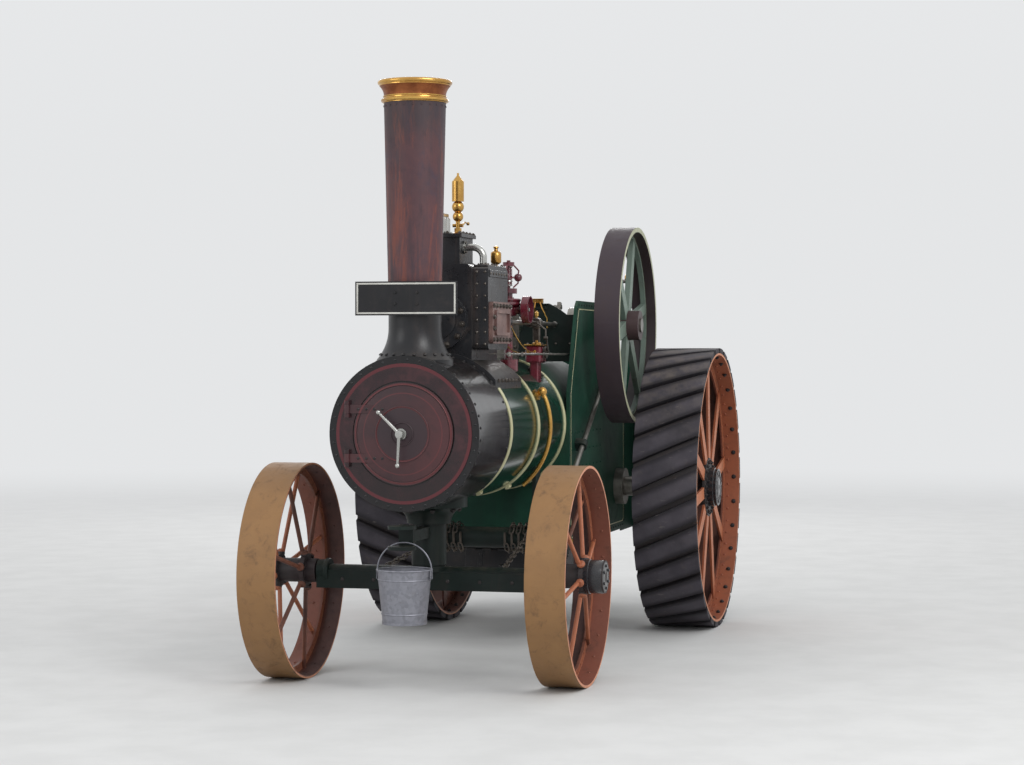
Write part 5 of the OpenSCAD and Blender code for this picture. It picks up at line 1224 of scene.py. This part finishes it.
def ashpan_damper():
    """Flap over the ashpan's front opening, a little open."""
    shape = Shape()
    hinge = at(0.305, 0, 0.592)
    down = at(0.17, 0, -0.985).normalized()
    out = at(-down.z, 0, down.x)
    axes = (down, Y, out)
    shape.block(hinge + down * 0.068, (0.136, 0.47, 0.005), axes, 0.001)
    for y in (-0.14, 0.14):
        strap = hinge + Y * y
        shape.block(strap + down * 0.06 + out * 0.004, (0.12, 0.03, 0.005), axes, 0.001)
        shape.rivets([strap + down * step + out * 0.006 for step in (0.03, 0.09)], out, 0.006)
    for y in np.linspace(-0.20, 0.20, 5):
        shape.pin(hinge + Y * y, Y, -0.028, 0.028, 0.009, 14)
    handle = ((0.12, 0.004), (0.12, 0.03), (0.10, 0.05), (0.09, 0.03), (0.09, 0.004))
    shape.tube([hinge + down * along + out * lift for along, lift in handle], 0.005, 8)
    shape.build("ashpan_damper", "black_iron")


def whistle_lever():
    shape = Shape()
    foot = at(1.4825, 0.04, turret_top)
    base = [(0, 0.016), (0, 0.030), (0.010, 0.030), (0.016, 0.020), (0.04, 0.020), (0.04, 0.016)]
    shape.turned(foot, Z, base, 6, ring=True)
    shape.pin(foot + Z * 0.055, Y, -0.03, 0.03, 0.010, 14)
    lever = ((0, 0.024, 0.055), (-0.05, 0.028, 0.075), (-0.11, 0.03, 0.07))
    shape.tube([foot + Vector(place) for place in lever], [0.006, 0.005, 0.004], 8)
    shape.pin(foot + at(-0.11, 0.022, 0.07), Y, 0, 0.014, 0.009, 14, hole=0.003)
    shape.build("whistle_lever", "brass")


def soften_edges():
    """Rounded edges on the nodes whose solids are cut square."""
    for name, width, segments in (("rear_strakes_left", 0.012, 3), ("rear_strakes_right", 0.012, 3),
                                  ("cylinder_block", 0.005, 2), ("number_plate", 0.0015, 2),
                                  ("chest_cover", 0.003, 2), ("hornplates", 0.002, 1)):
        bevel = frame["nodes"][name].modifiers.new("soft_edges", "BEVEL")
        bevel.width = width
        bevel.segments = segments
        bevel.limit_method = "ANGLE"
        bevel.angle_limit = math.radians(50)


smokebox_rivets()
saddle_rivets()
chimney_rivets()
plate_border()
door_fittings()
cap_rings()
band_clips()
boiler_plugs()
hornplate_edges()
cylinder_fittings()
motion_fittings()
governor_linkage()
pipe_flanges()
for name, side in HANDS:
    rear_wheel_fittings(name, side)
    front_wheel_fittings(name, side)
steering_chains()
chain_turns()
worm_thread()
perch_fittings()
bucket_ribs()
tender_fittings()
gauge_dial()
footplate_fittings()
chest_fittings()
smokebox_inside()
control_rods()
valve_rod_guide()
lubricator()
spectacle_fittings()
governor_drive()
ashpan_damper()
whistle_lever()
soften_edges()


# stage, light and camera

def pale_floor():
    """A wide pale floor that turns into the background's own colour far out."""
    f = Finish("stage_floor", 0.85, specular=0.2)
    f.colour(f.mix(f.cloud(0.3, 0.7, 2.5), (0.60, 0.60, 0.59, 1), (0.64, 0.64, 0.63, 1)))
    far = f.fade(f.radius((0, 0, 0), (0, 1)), 6.0, 24.0)
    glow = f.add("Emission", {"Color": background})
    blend = f.add("MixShader", {0: far, 1: f.shader.outputs[0], 2: glow.outputs[0]})
    f.put(f.out.inputs["Surface"], blend.outputs[0])
    size = 60
    mesh = bpy.data.meshes.new("stage_floor")
    corners = [(-size, -size, 0), (size, -size, 0), (size, size, 0), (-size, size, 0)]
    mesh.from_pydata(corners, [], [(0, 1, 2, 3)])
    mesh.materials.append(f.material)
    floor = bpy.data.objects.new("stage_floor", mesh)
    scene.collection.objects.link(floor)


def sky():
    """Pale all round, brighter overhead, so that glossy paint takes a soft gradient."""
    world = bpy.data.worlds.new("stage_sky")
    world.use_nodes = True
    scene.world = world
    nodes = Nodes(world.node_tree)
    height = nodes.split(nodes.add("TexCoord").outputs["Generated"])[2]
    ramp = nodes.add("MapRange", {"Value": height, "From Min": 0.08, "From Max": 0.75}).outputs[0]
    shade = nodes.add("Background", {"Color": nodes.mix(ramp, background, overhead), "Strength": 1.0})
    nodes.add("OutputWorld", {"Surface": shade.outputs[0]})


def aimed(name, data, place, target):
    """An object that looks from its place to a target."""
    thing = bpy.data.objects.new(name, data)
    thing.location = place
    thing.rotation_euler = (Vector(target) - Vector(place)).to_track_quat("-Z", "Y").to_euler()
    scene.collection.objects.link(thing)
    return thing


def lamp(name, place, target, size, power):
    data = bpy.data.lights.new(name, "AREA")
    data.shape = "RECTANGLE"
    data.size, data.size_y = size
    data.energy = power
    aimed(name, data, place, target).visible_camera = False


def camera(place, target, lens):
    data = bpy.data.cameras.new("camera")
    data.lens = lens
    data.sensor_width = 36
    data.clip_end = 300
    scene.camera = aimed("camera", data, place, target)


background = (0.78, 0.79, 0.80, 1)
overhead = (0.92, 0.93, 0.95, 1)
pale_floor()
sky()
lamp("key", (7, 7, 8), (0, 0, 1.2), (5, 4), 460)
lamp("fill", (9, -8, 5), (0, 0, 1.2), (5, 4), 140)
lamp("rim", (-12, -3, 6.5), (1.5, 0, 1.5), (6, 1.6), 260)
# where the photograph was taken from, 12.5 m ahead of the front axle, with a longer lens
camera((front_axle.x + 12.544, 3.614, 1.788), (0.55, 0.12, 1.62), 84)
scene.view_settings.view_transform = "Standard"
